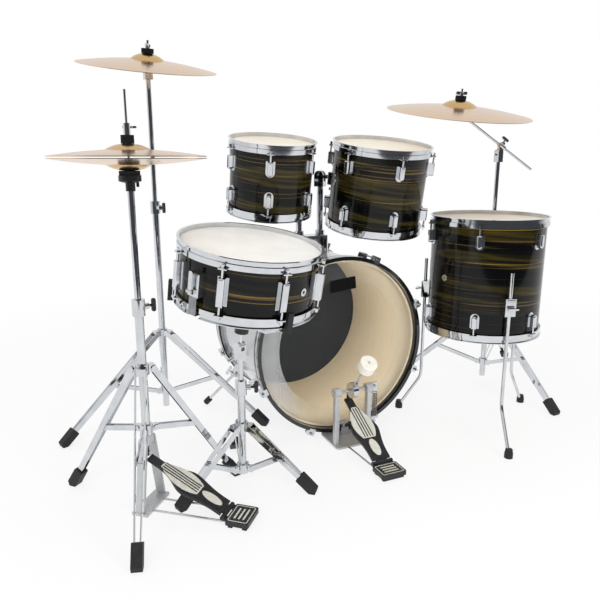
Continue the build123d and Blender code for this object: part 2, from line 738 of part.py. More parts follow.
def collar(z, pivot, ear_width):
    """Ring on the tube with an ear for each of three legs."""
    outer = BASE_TUBE_RADIUS + COLLAR_WALL
    body = Cylinder(outer, COLLAR_HEIGHT)
    reach = pivot.X + 2.5 * RIVET_RADIUS
    ear = Pos(reach / 2, 0, 0) * Box(reach, ear_width, COLLAR_HEIGHT * 0.7)
    body += [Rot(0, 0, 120 * i) * ear for i in range(3)]
    body -= Cylinder(BASE_TUBE_RADIUS + SEAT_GAP, COLLAR_HEIGHT * 2)
    pin = rod(Vector(pivot.X, -reach, 0), Vector(pivot.X, reach, 0), RIVET_RADIUS + RUN_GAP)
    for i in range(3):
        body -= Rot(0, 0, 120 * i) * pin
    return Pos(0, 0, z) * body


# Cymbals

def cymbal(diameter, bell_radius, bell_rise, bow_rise):
    """Cymbal with the underside of its bell at z = 0, edge below."""
    edge = (diameter / 2, -bow_rise - bell_rise)
    foot = (bell_radius, -bell_rise)
    crown = (CYMBAL_HOLE, 0)
    bow_middle = ((edge[0] + foot[0]) / 2, (edge[1] + foot[1]) / 2 + bow_rise * 0.12)
    bell_middle = (bell_radius * 0.66, -bell_rise * 0.34)
    lift = Vector(0, CYMBAL_THICK)

    def raised(point):
        return Vector(*point) + lift

    outline = [
        ThreePointArc(edge, bow_middle, foot), ThreePointArc(foot, bell_middle, crown),
        Line(crown, raised(crown)),
        ThreePointArc(raised(crown), raised(bell_middle), raised(foot)),
        ThreePointArc(raised(foot), raised(bow_middle), raised(edge)), Line(raised(edge), edge)]
    return revolve(Plane.XZ * make_face(outline), Axis.Z)


def cymbal_post():
    """Tilting hub and rod with the washers, felts, sleeve and wing nut that hold a cymbal."""
    stem = hub(TILTER_HUB_RADIUS, TILTER_HUB_WIDTH, POST_ROD_RADIUS)
    start = Vector(0, 0, TILTER_HUB_RADIUS - BITE)
    stem += rod(start, Vector(0, 0, POST_ROD_LENGTH), POST_ROD_RADIUS)
    bore = POST_ROD_RADIUS + SEAT_GAP
    felt_top = CYMBAL_HEIGHT - PART_GAP
    felt_low = felt_top - FELT_HEIGHT
    upper_low = CYMBAL_HEIGHT + CYMBAL_THICK + PART_GAP
    upper_top = upper_low + FELT_HEIGHT
    cup_low = felt_low - FELT_CUP_HEIGHT
    cup = turned((bore, cup_low), (NUT_RADIUS, cup_low), (FELT_RADIUS, felt_low - FELT_CUP_HEIGHT / 3),
                 (FELT_RADIUS, felt_low - SEAT_GAP), (bore, felt_low - SEAT_GAP))
    eye = SLEEVE_RADIUS + SEAT_GAP
    lower_felt = turned((eye, felt_low), (FELT_RADIUS, felt_low), (FELT_RADIUS, felt_top - FELT_DISH),
                        (eye, felt_top))
    sleeve = ring(SLEEVE_RADIUS, bore, felt_low, upper_top)
    upper_felt = ring(FELT_RADIUS, eye, upper_low, upper_top)
    nut = Pos(0, 0, upper_top + SEAT_GAP) * (ring(NUT_RADIUS, bore, 0, NUT_HEIGHT) + [
        Pos(side * (NUT_RADIUS + WING_SPAN / 6), 0, NUT_HEIGHT) * Rot(90, 0, 0) * extrude(
            SlotOverall(WING_SPAN / 2, WING_HEIGHT), WING_THICK / 2, both=True) for side in (-1, 1)])
    return [stem, cup, lower_felt, sleeve, upper_felt, nut]


# Pedals

def footboard():
    """Leaf-shaped footboard, hinge along x at the origin, toe towards y, top face up."""
    length = FOOTBOARD_LENGTH
    shoulder = 0.86 * length
    right = [Vector(FOOTBOARD_TOE, shoulder), Vector(FOOTBOARD_LEAF, 0.52 * length),
             Vector(FOOTBOARD_WAIST, 0.12 * length)]
    left = [Vector(-p.X, p.Y) for p in reversed(right)]
    start = Vector(FOOTBOARD_WAIST, HINGE_KNUCKLE + 2)
    toe = Vector(FOOTBOARD_TOE, length)
    outline = [
        Line(start, right[2]), Spline(*reversed(right), tangents=[(0, 1), (0, 1)]), Line(right[0], toe),
        Line(toe, Vector(-toe.X, toe.Y)), Line(Vector(-toe.X, toe.Y), left[2]),
        Spline(*reversed(left), tangents=[(0, -1), (0, -1)]), Line(left[0], Vector(-start.X, start.Y)),
        Line(Vector(-start.X, start.Y), start)]
    plate = extrude(make_face(outline), FOOTBOARD_THICK)
    knuckle = Rot(0, 90, 0) * Cylinder(HINGE_KNUCKLE, 2 * HINGE_KNUCKLE_HALF)
    web = Pos(0, 0, 0) * Box(2 * HINGE_KNUCKLE_HALF, 2 * HINGE_KNUCKLE + 5, HINGE_KNUCKLE,
                             align=(Align.CENTER, Align.MIN, Align.MIN))
    return plate + knuckle + web - Rot(0, 90, 0) * Cylinder(HINGE_PIN + RUN_GAP, 4 * HINGE_KNUCKLE_HALF)


def heel_plate():
    """Heel plate behind the hinge at the origin, with its knuckles and hinge pin."""
    top = -HEEL_SINK
    body = Pos(0, -HINGE_KNUCKLE - HEEL_GAP, top) * Box(
        2 * HEEL_HALF_WIDTH, HEEL_LENGTH, HEEL_THICK, align=(Align.CENTER, Align.MAX, Align.MAX))
    body = fillet(body.edges().filter_by(Axis.Z), HEEL_ROUND)
    inner = HINGE_KNUCKLE_HALF + PART_GAP
    pin_end = HEEL_HALF_WIDTH - HEEL_ROUND
    for sign in (-1, 1):
        middle = sign * (inner + pin_end) / 2
        body += Pos(middle, 0, 0) * Rot(0, 90, 0) * Cylinder(HINGE_KNUCKLE, pin_end - inner)
        body += Pos(middle, 0, top) * Box(pin_end - inner, 2 * HINGE_KNUCKLE, HINGE_KNUCKLE - HEEL_SINK,
                                          align=(Align.CENTER, Align.MAX, Align.MAX))
    return body + Rot(0, 90, 0) * Cylinder(HINGE_PIN, 2 * pin_end)


def heel_feet():
    """Rubber strips under the heel plate."""
    height = HINGE_Z - HEEL_SINK - HEEL_THICK - SEAT_GAP
    strip_box = Box(2 * (HEEL_HALF_WIDTH - HEEL_ROUND), HEEL_FOOT * 3, height, align=STAND)
    return [Pos(0, -HINGE_KNUCKLE - HEEL_GAP - offset, -HINGE_Z) * strip_box
            for offset in (HEEL_FOOT * 3, HEEL_LENGTH - HEEL_FOOT * 3)]


HEEL_LOW = HINGE_Z - HEEL_SINK - HEEL_THICK
STRAP_Y = AXLE_Y + CAM_RADIUS + STRAP_PULL_THICK / 2 + PART_GAP
FOOTBOARD_RUN = FOOTBOARD_LENGTH * math.cos(math.radians(FOOTBOARD_SLOPE))
FOOTBOARD_CLIMB = FOOTBOARD_LENGTH * math.sin(math.radians(FOOTBOARD_SLOPE))
KICK_HINGE = Vector(0, STRAP_Y - FOOTBOARD_RUN + 6, HINGE_Z)
HAT_PEDAL = Plane((HAT_X, HAT_Y, 0), x_dir=polar(1, HAT_PEDAL_ANGLE + 90), z_dir=UP)
HAT_HINGE_RUN = FOOTBOARD_RUN + 2
TOE_Z = HINGE_Z + FOOTBOARD_CLIMB
TOE_TOP = TOE_Z + FOOTBOARD_THICK * math.cos(math.radians(FOOTBOARD_SLOPE))


def pedal_board(hinge):
    """Footboard at its slope on a hinge point."""
    slope = math.radians(FOOTBOARD_SLOPE)
    top_face = Vector(0, -math.sin(slope), math.cos(slope))
    return Plane(hinge, x_dir=(1, 0, 0), z_dir=top_face).location * footboard()


def kick_frame():
    """Base plate, posts, hoop clamp, radius rods and heel plate of the bass drum pedal."""
    depth = PLATE_BACK + PLATE_FRONT
    plate = Pos(0, (PLATE_FRONT - PLATE_BACK) / 2, 0) * extrude(
        RectangleRounded(2 * PLATE_HALF_WIDTH, depth, PLATE_ROUND), PLATE_THICK)
    pieces = [plate]
    seat = PLATE_THICK + SEAT_GAP
    for sign in (-1, 1):
        x = sign * PEDAL_POST_X
        post = Pos(x, AXLE_Y, seat) * Box(PEDAL_POST_WIDTH, PEDAL_POST_DEPTH, AXLE_Z - seat, align=STAND)
        post = fillet(post.edges().filter_by(Axis.Z), PEDAL_POST_ROUND)
        post += Pos(x, AXLE_Y, AXLE_Z) * Rot(0, 90, 0) * Cylinder(BEARING_RADIUS, BEARING_LENGTH)
        post -= Pos(x, AXLE_Y, AXLE_Z) * Rot(0, 90, 0) * Cylinder(AXLE_RADIUS + RUN_GAP, 4 * BEARING_LENGTH)
        pieces.append(post)
    pad = Pos(0, PLATE_FRONT / 2, seat) * Box(2.5 * JAW_HALF_WIDTH, PLATE_FRONT, PAD_THICK, align=STAND)
    pieces.append(pad)
    pieces += hoop_clamp(seat)
    heel_at = Plane(KICK_HINGE, x_dir=(1, 0, 0), z_dir=UP)
    pieces += placed(heel_at, [heel_plate()] + heel_feet())
    front = KICK_HINGE.Y - HINGE_KNUCKLE - HEEL_GAP
    for sign in (-1, 1):
        start = Vector(sign * RADIUS_ROD_X, -PLATE_BACK - SEAT_GAP, RADIUS_ROD + SLIDE_GAP)
        end = Vector(sign * RADIUS_ROD_X, front + SEAT_GAP, HEEL_LOW + RADIUS_ROD)
        pieces.append(rod(start, end, RADIUS_ROD))
    pieces.append(spring_anchor())
    return pieces


def hoop_clamp(seat):
    """Jaw that presses the bass drum's hoop onto the base plate, and its wing bolt."""
    inside = BASS_HOOP_OUTER - BASS_HOOP_THICK
    sag = inside - math.sqrt(inside ** 2 - JAW_HALF_WIDTH ** 2)
    low = BASS_Z - inside + sag + SEAT_GAP
    heel = -2 * JAW_WALL
    outline = Polyline((heel, seat), (-PART_GAP * 5, seat), (-PART_GAP * 5, low), (JAW_WALL * 1.5, low),
                       (JAW_WALL * 1.5, low + JAW_WALL), (heel, low + JAW_WALL), close=True)
    jaw = extrude(Plane.YZ * make_face(outline), JAW_HALF_WIDTH, both=True)
    bolt = bolt_at(Vector(0, -JAW_WALL, low + JAW_WALL + SEAT_GAP), UP)
    return [jaw, bolt]


def spring_anchor():
    """Foot on the base plate that holds the spring's lower end."""
    low = SPRING_TOP_Z - SPRING_TURNS * SPRING_PITCH
    inner = PEDAL_POST_X + PEDAL_POST_WIDTH / 2 + SEAT_GAP
    reach = SPRING_X + SPRING_RADIUS + 2 * SPRING_WIRE
    y = AXLE_Y - 2 * SPRING_WIRE - SEAT_GAP
    block = Pos(inner, y, low + SPRING_WIRE + SLIDE_GAP) * Box(
        reach - inner, ANCHOR_DEPTH, ANCHOR_HEIGHT, align=(Align.MIN, Align.MAX, Align.MAX))
    return fillet(block.edges().filter_by(Axis.X), ANCHOR_DEPTH / 4)


def spring_point(quarter):
    """Point and direction on the spring after a number of quarter turns from its lower end."""
    turn = math.pi / 2 * quarter
    climb = SPRING_PITCH / (2 * math.pi * SPRING_RADIUS)
    point = Vector(SPRING_X + SPRING_RADIUS * math.cos(turn), AXLE_Y + SPRING_RADIUS * math.sin(turn),
                   SPRING_TOP_Z + SPRING_PITCH * (quarter / 4 - SPRING_TURNS))
    return point, Vector(-math.sin(turn), math.cos(turn), climb).normalized()


def biarc(start, start_dir, end, end_dir):
    """Two arcs that join two points along their given directions."""
    chord = end - start
    spread = 2 * (1 - start_dir.dot(end_dir))
    along = chord.dot(start_dir + end_dir)
    reach = (math.sqrt(along ** 2 + spread * chord.dot(chord)) - along) / spread
    joint = (start + start_dir * reach + end - end_dir * reach) / 2
    first = TangentArc(start, joint, tangent=start_dir)
    return [first, TangentArc(joint, end, tangent=first % 1)]


def pedal_spring():
    """Wound return spring beside the right post, one unbroken wire."""
    quarters = 4 * SPRING_TURNS
    stations = [spring_point(quarter) for quarter in range(quarters + 1)]
    low, low_dir = stations[0]
    top, top_dir = stations[-1]
    edges = [Line(low - low_dir * 2 * SPRING_WIRE, low)]
    for here, there in zip(stations, stations[1:]):
        edges += biarc(*here, *there)
    edges.append(Line(top, top + top_dir * 2 * SPRING_WIRE))
    print("spring: least gap between turns", round(SPRING_PITCH - 2 * SPRING_WIRE, 2), "mm")
    section = Plane(edges[0] @ 0, z_dir=low_dir) * Circle(SPRING_WIRE)
    return sweep(section, Wire(edges))


def kick_beater():
    """Axle, cam, hub, shaft and felt beater that swing together."""
    half = PEDAL_POST_X + BEARING_LENGTH / 2 + AXLE_PROUD
    centre = Vector(0, AXLE_Y, AXLE_Z)
    lean = math.radians(BEATER_LEAN)
    up_shaft = Vector(0, -math.sin(lean), math.cos(lean))
    axle = rod(centre - Vector(half, 0, 0), centre + Vector(SPRING_X, 0, 0), AXLE_RADIUS)
    axle += rod(centre - Vector(CAM_WIDTH / 2, 0, 0), centre + Vector(CAM_WIDTH / 2, 0, 0), CAM_RADIUS)
    axle += spring_arm()
    socket_top = CAM_RADIUS + BEATER_SOCKET_LENGTH
    axle += rod(centre + up_shaft * AXLE_RADIUS, centre + up_shaft * socket_top, BEATER_SOCKET)
    tail = centre + up_shaft * (AXLE_RADIUS + BEATER_SOCKET_FLOOR)
    axle -= rod(tail, centre + up_shaft * BEATER_REACH, BEATER_SHAFT + SEAT_GAP)
    puck = centre + up_shaft * BEATER_REACH
    felt = rod(puck - up_shaft * BEATER_LENGTH / 2, puck + up_shaft * BEATER_LENGTH / 2, BEATER_RADIUS)
    felt = fillet(felt.edges(), BEATER_ROUND)
    shaft_end = puck + up_shaft * (BEATER_LENGTH / 2 + BEATER_PROUD)
    felt -= rod(centre, shaft_end + up_shaft * BEATER_PROUD, BEATER_SHAFT + SEAT_GAP)
    shaft = rod(tail + up_shaft * SEAT_GAP, shaft_end, BEATER_SHAFT)
    return [axle, shaft, felt]


def spring_arm():
    """Arm on the axle's end that the spring's upper end hooks to."""
    inner = PEDAL_POST_X + BEARING_LENGTH / 2 + AXLE_PROUD
    low = SPRING_TOP_Z - SPRING_WIRE - SLIDE_GAP
    reach = SPRING_X + SPRING_RADIUS + 2 * SPRING_WIRE - inner
    height = AXLE_Z + 2 * AXLE_RADIUS - low
    arm = Box(reach, ANCHOR_DEPTH, height, align=(Align.MIN, Align.MIN, Align.MIN))
    return Pos(inner, AXLE_Y + 2 * SPRING_WIRE + PART_GAP, low) * arm


def kick_footboard():
    """Footboard of the bass drum pedal and the strap that it pulls."""
    board = pedal_board(KICK_HINGE)
    strap = Pos(0, STRAP_Y, TOE_TOP + SEAT_GAP) * Box(
        STRAP_PULL_WIDTH, STRAP_PULL_THICK, AXLE_Z - TOE_TOP - SEAT_GAP, align=STAND)
    return [board, strap]


# Hi-hat

HAT_BELL_LOW = HAT_EDGE_Z - HAT_BOW_RISE - HAT_BELL_RISE
HAT_BELL_HIGH = HAT_EDGE_Z + HAT_OPENING + HAT_BOW_RISE + HAT_BELL_RISE
HAT_HINGE = Vector(0, -HAT_HINGE_RUN, HINGE_Z)


def hat_stand_frame():
    """Socket, two struts and foot of the A-frame that stands the hi-hat's tube over its pedal."""
    outer = BASE_TUBE_RADIUS + COLLAR_WALL
    socket = ring(outer, BASE_TUBE_RADIUS + SEAT_GAP, HAT_TUBE_BOTTOM, HAT_TUBE_BOTTOM + HAT_SOCKET_HEIGHT)
    foot_width = 2 * (HAT_FRAME_HALF_WIDTH + HAT_STRUT_THICK)
    foot = Box(foot_width, HAT_BASE_DEPTH, HAT_BASE_THICK, align=STAND)
    seats = Cylinder(outer + SEAT_GAP, 4 * HAT_TUBE_BOTTOM)
    seats += Box(2 * foot_width, HAT_BASE_DEPTH, 2 * (HAT_BASE_THICK + SEAT_GAP))
    pieces = [socket, foot]
    for sign in (-1, 1):
        top = Vector(sign * (outer + HAT_STRUT_THICK / 3), 0, HAT_TUBE_BOTTOM + HAT_STRUT_WIDTH / 4)
        low = Vector(sign * HAT_FRAME_HALF_WIDTH, 0, HAT_BASE_THICK / 2 + HAT_STRUT_WIDTH / 2)
        pieces.append(strip(top, low, HAT_STRUT_WIDTH, HAT_STRUT_THICK, Vector(1, 0, 0)) - seats)
    return pieces


def hat_frame():
    """Lower tube, clamp, hidden spring, A-frame, radius rods and heel plate of the hi-hat."""
    pieces = hat_stand_frame()
    pieces += placed(Plane(HAT_HINGE, x_dir=(1, 0, 0), z_dir=UP), [heel_plate()] + heel_feet())
    for sign in (-1, 1):
        start = Vector(sign * RADIUS_ROD_X, -HAT_BASE_DEPTH / 2 - SEAT_GAP, HAT_BASE_THICK / 2)
        end = Vector(sign * RADIUS_ROD_X, HAT_HINGE.Y - HINGE_KNUCKLE - HEEL_GAP + SEAT_GAP,
                     HEEL_LOW + RADIUS_ROD)
        pieces.append(rod(start, end, RADIUS_ROD))
    pieces += base_tube(0, 0, HAT_TUBE_BOTTOM, HAT_CLAMP_Z, HAT_WING_ANGLE - HAT_PEDAL_ANGLE - 90)
    bore = BASE_TUBE_RADIUS - TUBE_WALL
    spring_bore = HAT_ROD_RADIUS + 5 * PART_GAP
    pieces.append(ring(bore - SEAT_GAP, spring_bore, HAT_TUBE_BOTTOM, HAT_TUBE_BOTTOM + HAT_SPRING_LENGTH))
    return placed(HAT_PEDAL, pieces)


def hat_upper_tube():
    """Upper tube with the seat cup and felt that carry the bottom cymbal."""
    felt_top = HAT_BELL_LOW - CYMBAL_THICK - PART_GAP
    felt_low = felt_top - HAT_FELT_HEIGHT
    sleeve_top = HAT_BELL_LOW + HAT_FELT_HEIGHT
    cup_top = felt_low - SEAT_GAP
    cup_low = cup_top - SEAT_CUP_HEIGHT
    low = cup_low - SEAT_SLEEVE_HEIGHT
    bore = UPPER_TUBE_RADIUS + SEAT_GAP
    rod_bore = HAT_ROD_RADIUS + SLIDE_GAP
    tube_top = cup_top - TUBE_WALL * 3
    cup = turned(
        (bore, low), (SEAT_SLEEVE_RADIUS, low), (SEAT_SLEEVE_RADIUS, cup_low),
        (SEAT_CUP_RADIUS, cup_low + SEAT_CUP_HEIGHT / 4), (SEAT_CUP_RADIUS, cup_top),
        (SLEEVE_RADIUS, cup_top), (SLEEVE_RADIUS, sleeve_top), (rod_bore, sleeve_top),
        (rod_bore, tube_top), (bore, tube_top))
    tube_low = HAT_CLAMP_Z - HAT_TUBE_INSERT
    pipe = ring(UPPER_TUBE_RADIUS, UPPER_TUBE_RADIUS - TUBE_WALL, tube_low, tube_top - SEAT_GAP)
    felt = ring(SEAT_FELT_RADIUS, SLEEVE_RADIUS + SEAT_GAP, felt_low, felt_top)
    screw_radius = SEAT_CUP_RADIUS - 2 * WING_SHANK
    screw_at = polar(screw_radius, HAT_WING_ANGLE, cup_low - SEAT_SLEEVE_HEIGHT / 2)
    screw = rod(screw_at, screw_at + UP * (SEAT_SLEEVE_HEIGHT / 2 + SEAT_CUP_HEIGHT / 2), WING_SHANK)
    return [Pos(HAT_X, HAT_Y, 0) * piece for piece in (pipe, cup - screw, felt, screw)]


def hat_pull_rod():
    """Long rod, its lower eye and the chain that the pedal pulls."""
    eye_low = HAT_TUBE_BOTTOM - HAT_EYE_HEIGHT
    long_rod = rod(UP * (eye_low + BITE), UP * HAT_ROD_TOP, HAT_ROD_RADIUS)
    long_rod += rod(UP * eye_low, UP * (HAT_TUBE_BOTTOM - PART_GAP), 2 * HAT_ROD_RADIUS)
    pitch = (eye_low - TOE_TOP) / CHAIN_LINKS
    pieces = [long_rod]
    for i in range(CHAIN_LINKS):
        middle = TOE_TOP + pitch * (i + 0.5) + SEAT_GAP
        wide = CHAIN_WIDTH if i % 2 else CHAIN_WIDTH * 0.6
        link = extrude(SlotOverall(pitch - SEAT_GAP, CHAIN_DEPTH), wide / 2, both=True)
        pieces.append(Pos(0, 0, middle) * Rot(0, 90, 0) * link)
    return placed(HAT_PEDAL, pieces)


def hat_clutch():
    """Clutch on the rod with the felts and nuts that hold the top cymbal."""
    bore = HAT_ROD_RADIUS + SLIDE_GAP
    felt_low = CYMBAL_THICK + PART_GAP
    felt_top = felt_low + HAT_FELT_HEIGHT
    under = -PART_GAP - HAT_FELT_HEIGHT / 2
    collar_low = felt_top + NUT_HEIGHT + SEAT_GAP
    collar_top = collar_low + CLUTCH_HEIGHT
    body = turned(
        (bore, under - NUT_HEIGHT), (NUT_RADIUS, under - NUT_HEIGHT), (NUT_RADIUS, under - SEAT_GAP),
        (SLEEVE_RADIUS, under - SEAT_GAP), (SLEEVE_RADIUS, collar_low), (NUT_RADIUS, collar_low),
        (NUT_RADIUS, collar_top), (bore, collar_top))
    hole = SLEEVE_RADIUS + SEAT_GAP
    low_felt = ring(HAT_FELT_RADIUS, hole, under, -PART_GAP)
    high_felt = ring(HAT_FELT_RADIUS, hole, felt_low, felt_top)
    nut = ring(HAT_FELT_RADIUS, hole, felt_top + SEAT_GAP, collar_low - SEAT_GAP)
    outward_turn, bolt_z = polar(1, CLUTCH_WING_ANGLE), collar_top - NUT_RADIUS
    bolt = bolt_at(outward_turn * (NUT_RADIUS + SEAT_GAP) + UP * bolt_z, outward_turn)
    seat = bolt_at(outward_turn * (NUT_RADIUS - SEAT_GAP) + UP * bolt_z, outward_turn)
    pieces = (body - seat, low_felt, high_felt, nut, bolt)
    return [Pos(HAT_X, HAT_Y, HAT_BELL_HIGH) * piece for piece in pieces]


def hat_cymbal(z, turn):
    """Hi-hat cymbal on the stand's axis."""
    one = cymbal(HAT_DIAMETER, HAT_BELL_RADIUS, HAT_BELL_RISE, HAT_BOW_RISE)
    return Pos(HAT_X, HAT_Y, z) * Rot(turn, 0, 0) * one


# Crash and ride

CRASH_TILT = leaning((CRASH_X, CRASH_Y, CRASH_PIVOT_Z), CRASH_LEAN, CRASH_LEAN_TOWARD)
BOOM_TURN = math.radians(BOOM_ELEVATION)
BOOM = Plane((RIDE_X, RIDE_Y, RIDE_PIVOT_Z), x_dir=(-math.cos(BOOM_TURN), 0, math.sin(BOOM_TURN)),
             z_dir=(math.sin(BOOM_TURN), 0, math.cos(BOOM_TURN)))
RIDE_PIVOT = BOOM.origin + BOOM.z_dir * BOOM_OFFSET + BOOM.x_dir * BOOM_REACH
RIDE_UP = leaning((0, 0, 0), RIDE_LEAN, RIDE_LEAN_TOWARD).z_dir
RIDE_HINGE = BOOM.x_dir.cross(RIDE_UP).normalized()
RIDE_TILT = Plane(RIDE_PIVOT, x_dir=RIDE_HINGE.cross(RIDE_UP), z_dir=RIDE_UP)


def boom_clamp():
    """Tilting hub on the ride stand that grips the boom, with its wing bolt."""
    outer = BOOM_RADIUS + CLAMP_WALL
    body = hub(TILTER_HUB_RADIUS, TILTER_HUB_WIDTH, POST_ROD_RADIUS)
    web = Box(2 * outer, TILTER_HUB_WIDTH, BOOM_OFFSET - TILTER_HUB_RADIUS + BITE, align=STAND)
    body += Pos(0, 0, TILTER_HUB_RADIUS - BITE) * web
    half = BOOM_CLAMP_LENGTH / 2
    body += rod(Vector(-half, 0, BOOM_OFFSET), Vector(half, 0, BOOM_OFFSET), outer)
    body -= rod(Vector(-2 * half, 0, BOOM_OFFSET), Vector(2 * half, 0, BOOM_OFFSET), BOOM_RADIUS + SLIDE_GAP)
    boss_end = BOOM_OFFSET + outer + BOSS_LENGTH / 2
    body += rod(Vector(0, 0, BOOM_OFFSET + outer - BITE), Vector(0, 0, boss_end), BOSS_RADIUS)
    return placed(BOOM, [body, bolt_at(Vector(0, 0, boss_end + SEAT_GAP), UP)])


def boom_arm():
    """Boom with the fork that carries the ride's tilter."""
    stem = FORK_STEM * 0.7
    front = BOOM_REACH - stem + BITE
    along = rod(Vector(-BOOM_TAIL, 0, BOOM_OFFSET), Vector(front, 0, BOOM_OFFSET), BOOM_RADIUS)
    end = fork(TILTER_HUB_RADIUS, TILTER_HUB_WIDTH, POST_ROD_RADIUS, FORK_CHEEK, stem)
    yoke = Plane(RIDE_PIVOT, x_dir=RIDE_HINGE.cross(BOOM.x_dir), z_dir=BOOM.x_dir)
    return BOOM.location * along + yoke.location * end


# Snare drum and its stand

SNARE_TILT = leaning((SNARE_STAND_X, SNARE_STAND_Y, SNARE_PIVOT_Z), SNARE_LEAN, SNARE_LEAN_TOWARD)
SNARE_MIDDLE = SNARE_SEAT + HOOP_RISE + SNARE_DEPTH / 2
SNARE = Plane(SNARE_TILT.origin + SNARE_TILT.z_dir * SNARE_MIDDLE,
              x_dir=SNARE_TILT.x_dir, z_dir=SNARE_TILT.z_dir)
AXIAL = Plane((0, 0, 0), x_dir=UP, z_dir=(0, 1, 0))   # draws along a drum's axis, then outwards
WIRE_LOW = -SNARE_DEPTH / 2 - 2 * SEAT_GAP - FILM - 2 * WIRE_RADIUS - WIRE_PLATE_THICK / 2
WIRE_REACH = SNARE_DIAMETER / 2 - WIRE_MARGIN


def snare_hoops(angles):
    """Snare hoops; the lower one has a gate for each snare strap."""
    top, low = both_hoops(SNARE_DIAMETER, SNARE_DEPTH, angles)
    gate = Pos(SNARE_DIAMETER / 2, 0, -SNARE_DEPTH / 2 + FLESH_DROP - HOOP_SHEET - 2 * SEAT_GAP) * Box(
        4 * ROD_OFFSET, STRAP_WIDTH + 8, 2 * HOOP_RISE, align=(Align.CENTER, Align.CENTER, Align.MAX))
    for angle in (THROW_OFF_ANGLE, THROW_OFF_ANGLE + 180):
        low -= Rot(0, 0, angle) * gate
    return [top, low]


LEVER_PIVOT = SNARE_DIAMETER / 2 + STRAINER_DEPTH + LEVER_HUB + 2
LEVER_Y = -STRAINER_HEIGHT / 4


def strainer():
    """Throw-off body and butt plate, both seated on the shell."""
    radius = SNARE_DIAMETER / 2
    seat = Rot(90, 0, 0) * Cylinder(radius + SEAT_GAP, 2 * SNARE_DEPTH)
    pieces = []
    for angle, height in ((THROW_OFF_ANGLE, STRAINER_HEIGHT), (THROW_OFF_ANGLE + 180, BUTT_HEIGHT)):
        block = Box(STRAINER_WIDTH, height, STRAINER_DEPTH + SHELL_WALL, align=STAND)
        block = Pos(0, 0, radius - SHELL_WALL) * block
        block = fillet(block.faces().sort_by(Axis.Z)[-1].edges(), STRAINER_ROUND)
        if height == STRAINER_HEIGHT:
            stem = LEVER_PIVOT - radius - STRAINER_DEPTH + BITE
            yoke = fork(LEVER_HUB, LEVER_WIDTH, LEVER_PIN, LEVER_CHEEK, stem)
            block += Pos(0, LEVER_Y, LEVER_PIVOT) * Rot(0, 0, 90) * yoke
        pieces.append(outward(angle).location * (block - seat))
    return pieces


def throw_off_lever():
    """Lever that lies up against the strainer and swings out to free the wires."""
    body = hub(LEVER_HUB, LEVER_WIDTH, LEVER_PIN)
    bar = Box(LEVER_LENGTH, LEVER_WIDTH, LEVER_HUB, align=(Align.MIN, Align.CENTER, Align.CENTER))
    bar = Pos(LEVER_HUB * 0.8, 0, 0) * bar
    bar = fillet(bar.faces().sort_by(Axis.X)[-1].edges().filter_by(Axis.Z), LEVER_WIDTH / 3)
    seat = outward(THROW_OFF_ANGLE).location * Pos(0, LEVER_Y, LEVER_PIVOT) * Rot(0, 0, 90)
    return seat * (body + bar)


def snare_wires():
    """Snare wires under the lower head, with the straps that hold them."""
    width = WIRE_SPACING * WIRE_COUNT
    wires = []
    for sign in (-1, 1):
        wires.append(Pos(sign * WIRE_REACH, 0, WIRE_LOW) * Box(WIRE_PLATE_LENGTH, width, WIRE_PLATE_THICK))
    z = WIRE_LOW + WIRE_PLATE_THICK / 2
    for i in range(WIRE_COUNT):
        y = WIRE_SPACING * (i - (WIRE_COUNT - 1) / 2)
        wires.append(rod(Vector(-WIRE_REACH, y, z), Vector(WIRE_REACH, y, z), WIRE_RADIUS))
    pieces = [Rot(0, 0, THROW_OFF_ANGLE) * (wires[0] + wires[1:])]
    low = WIRE_LOW - WIRE_PLATE_THICK / 2 - SEAT_GAP
    outer = SNARE_DIAMETER / 2 + ROD_OFFSET
    for angle, height in ((THROW_OFF_ANGLE, STRAINER_HEIGHT), (THROW_OFF_ANGLE + 180, BUTT_HEIGHT)):
        top = -height / 2 - SEAT_GAP
        outline = Polyline(
            (top, outer), (top, outer - STRAP_THICK), (low, outer - STRAP_THICK), (low, WIRE_REACH),
            (low - STRAP_THICK, WIRE_REACH), (low - STRAP_THICK, outer), close=True)
        pieces.append(Rot(0, 0, angle) * extrude(AXIAL * make_face(outline), STRAP_WIDTH / 2, both=True))
    return pieces


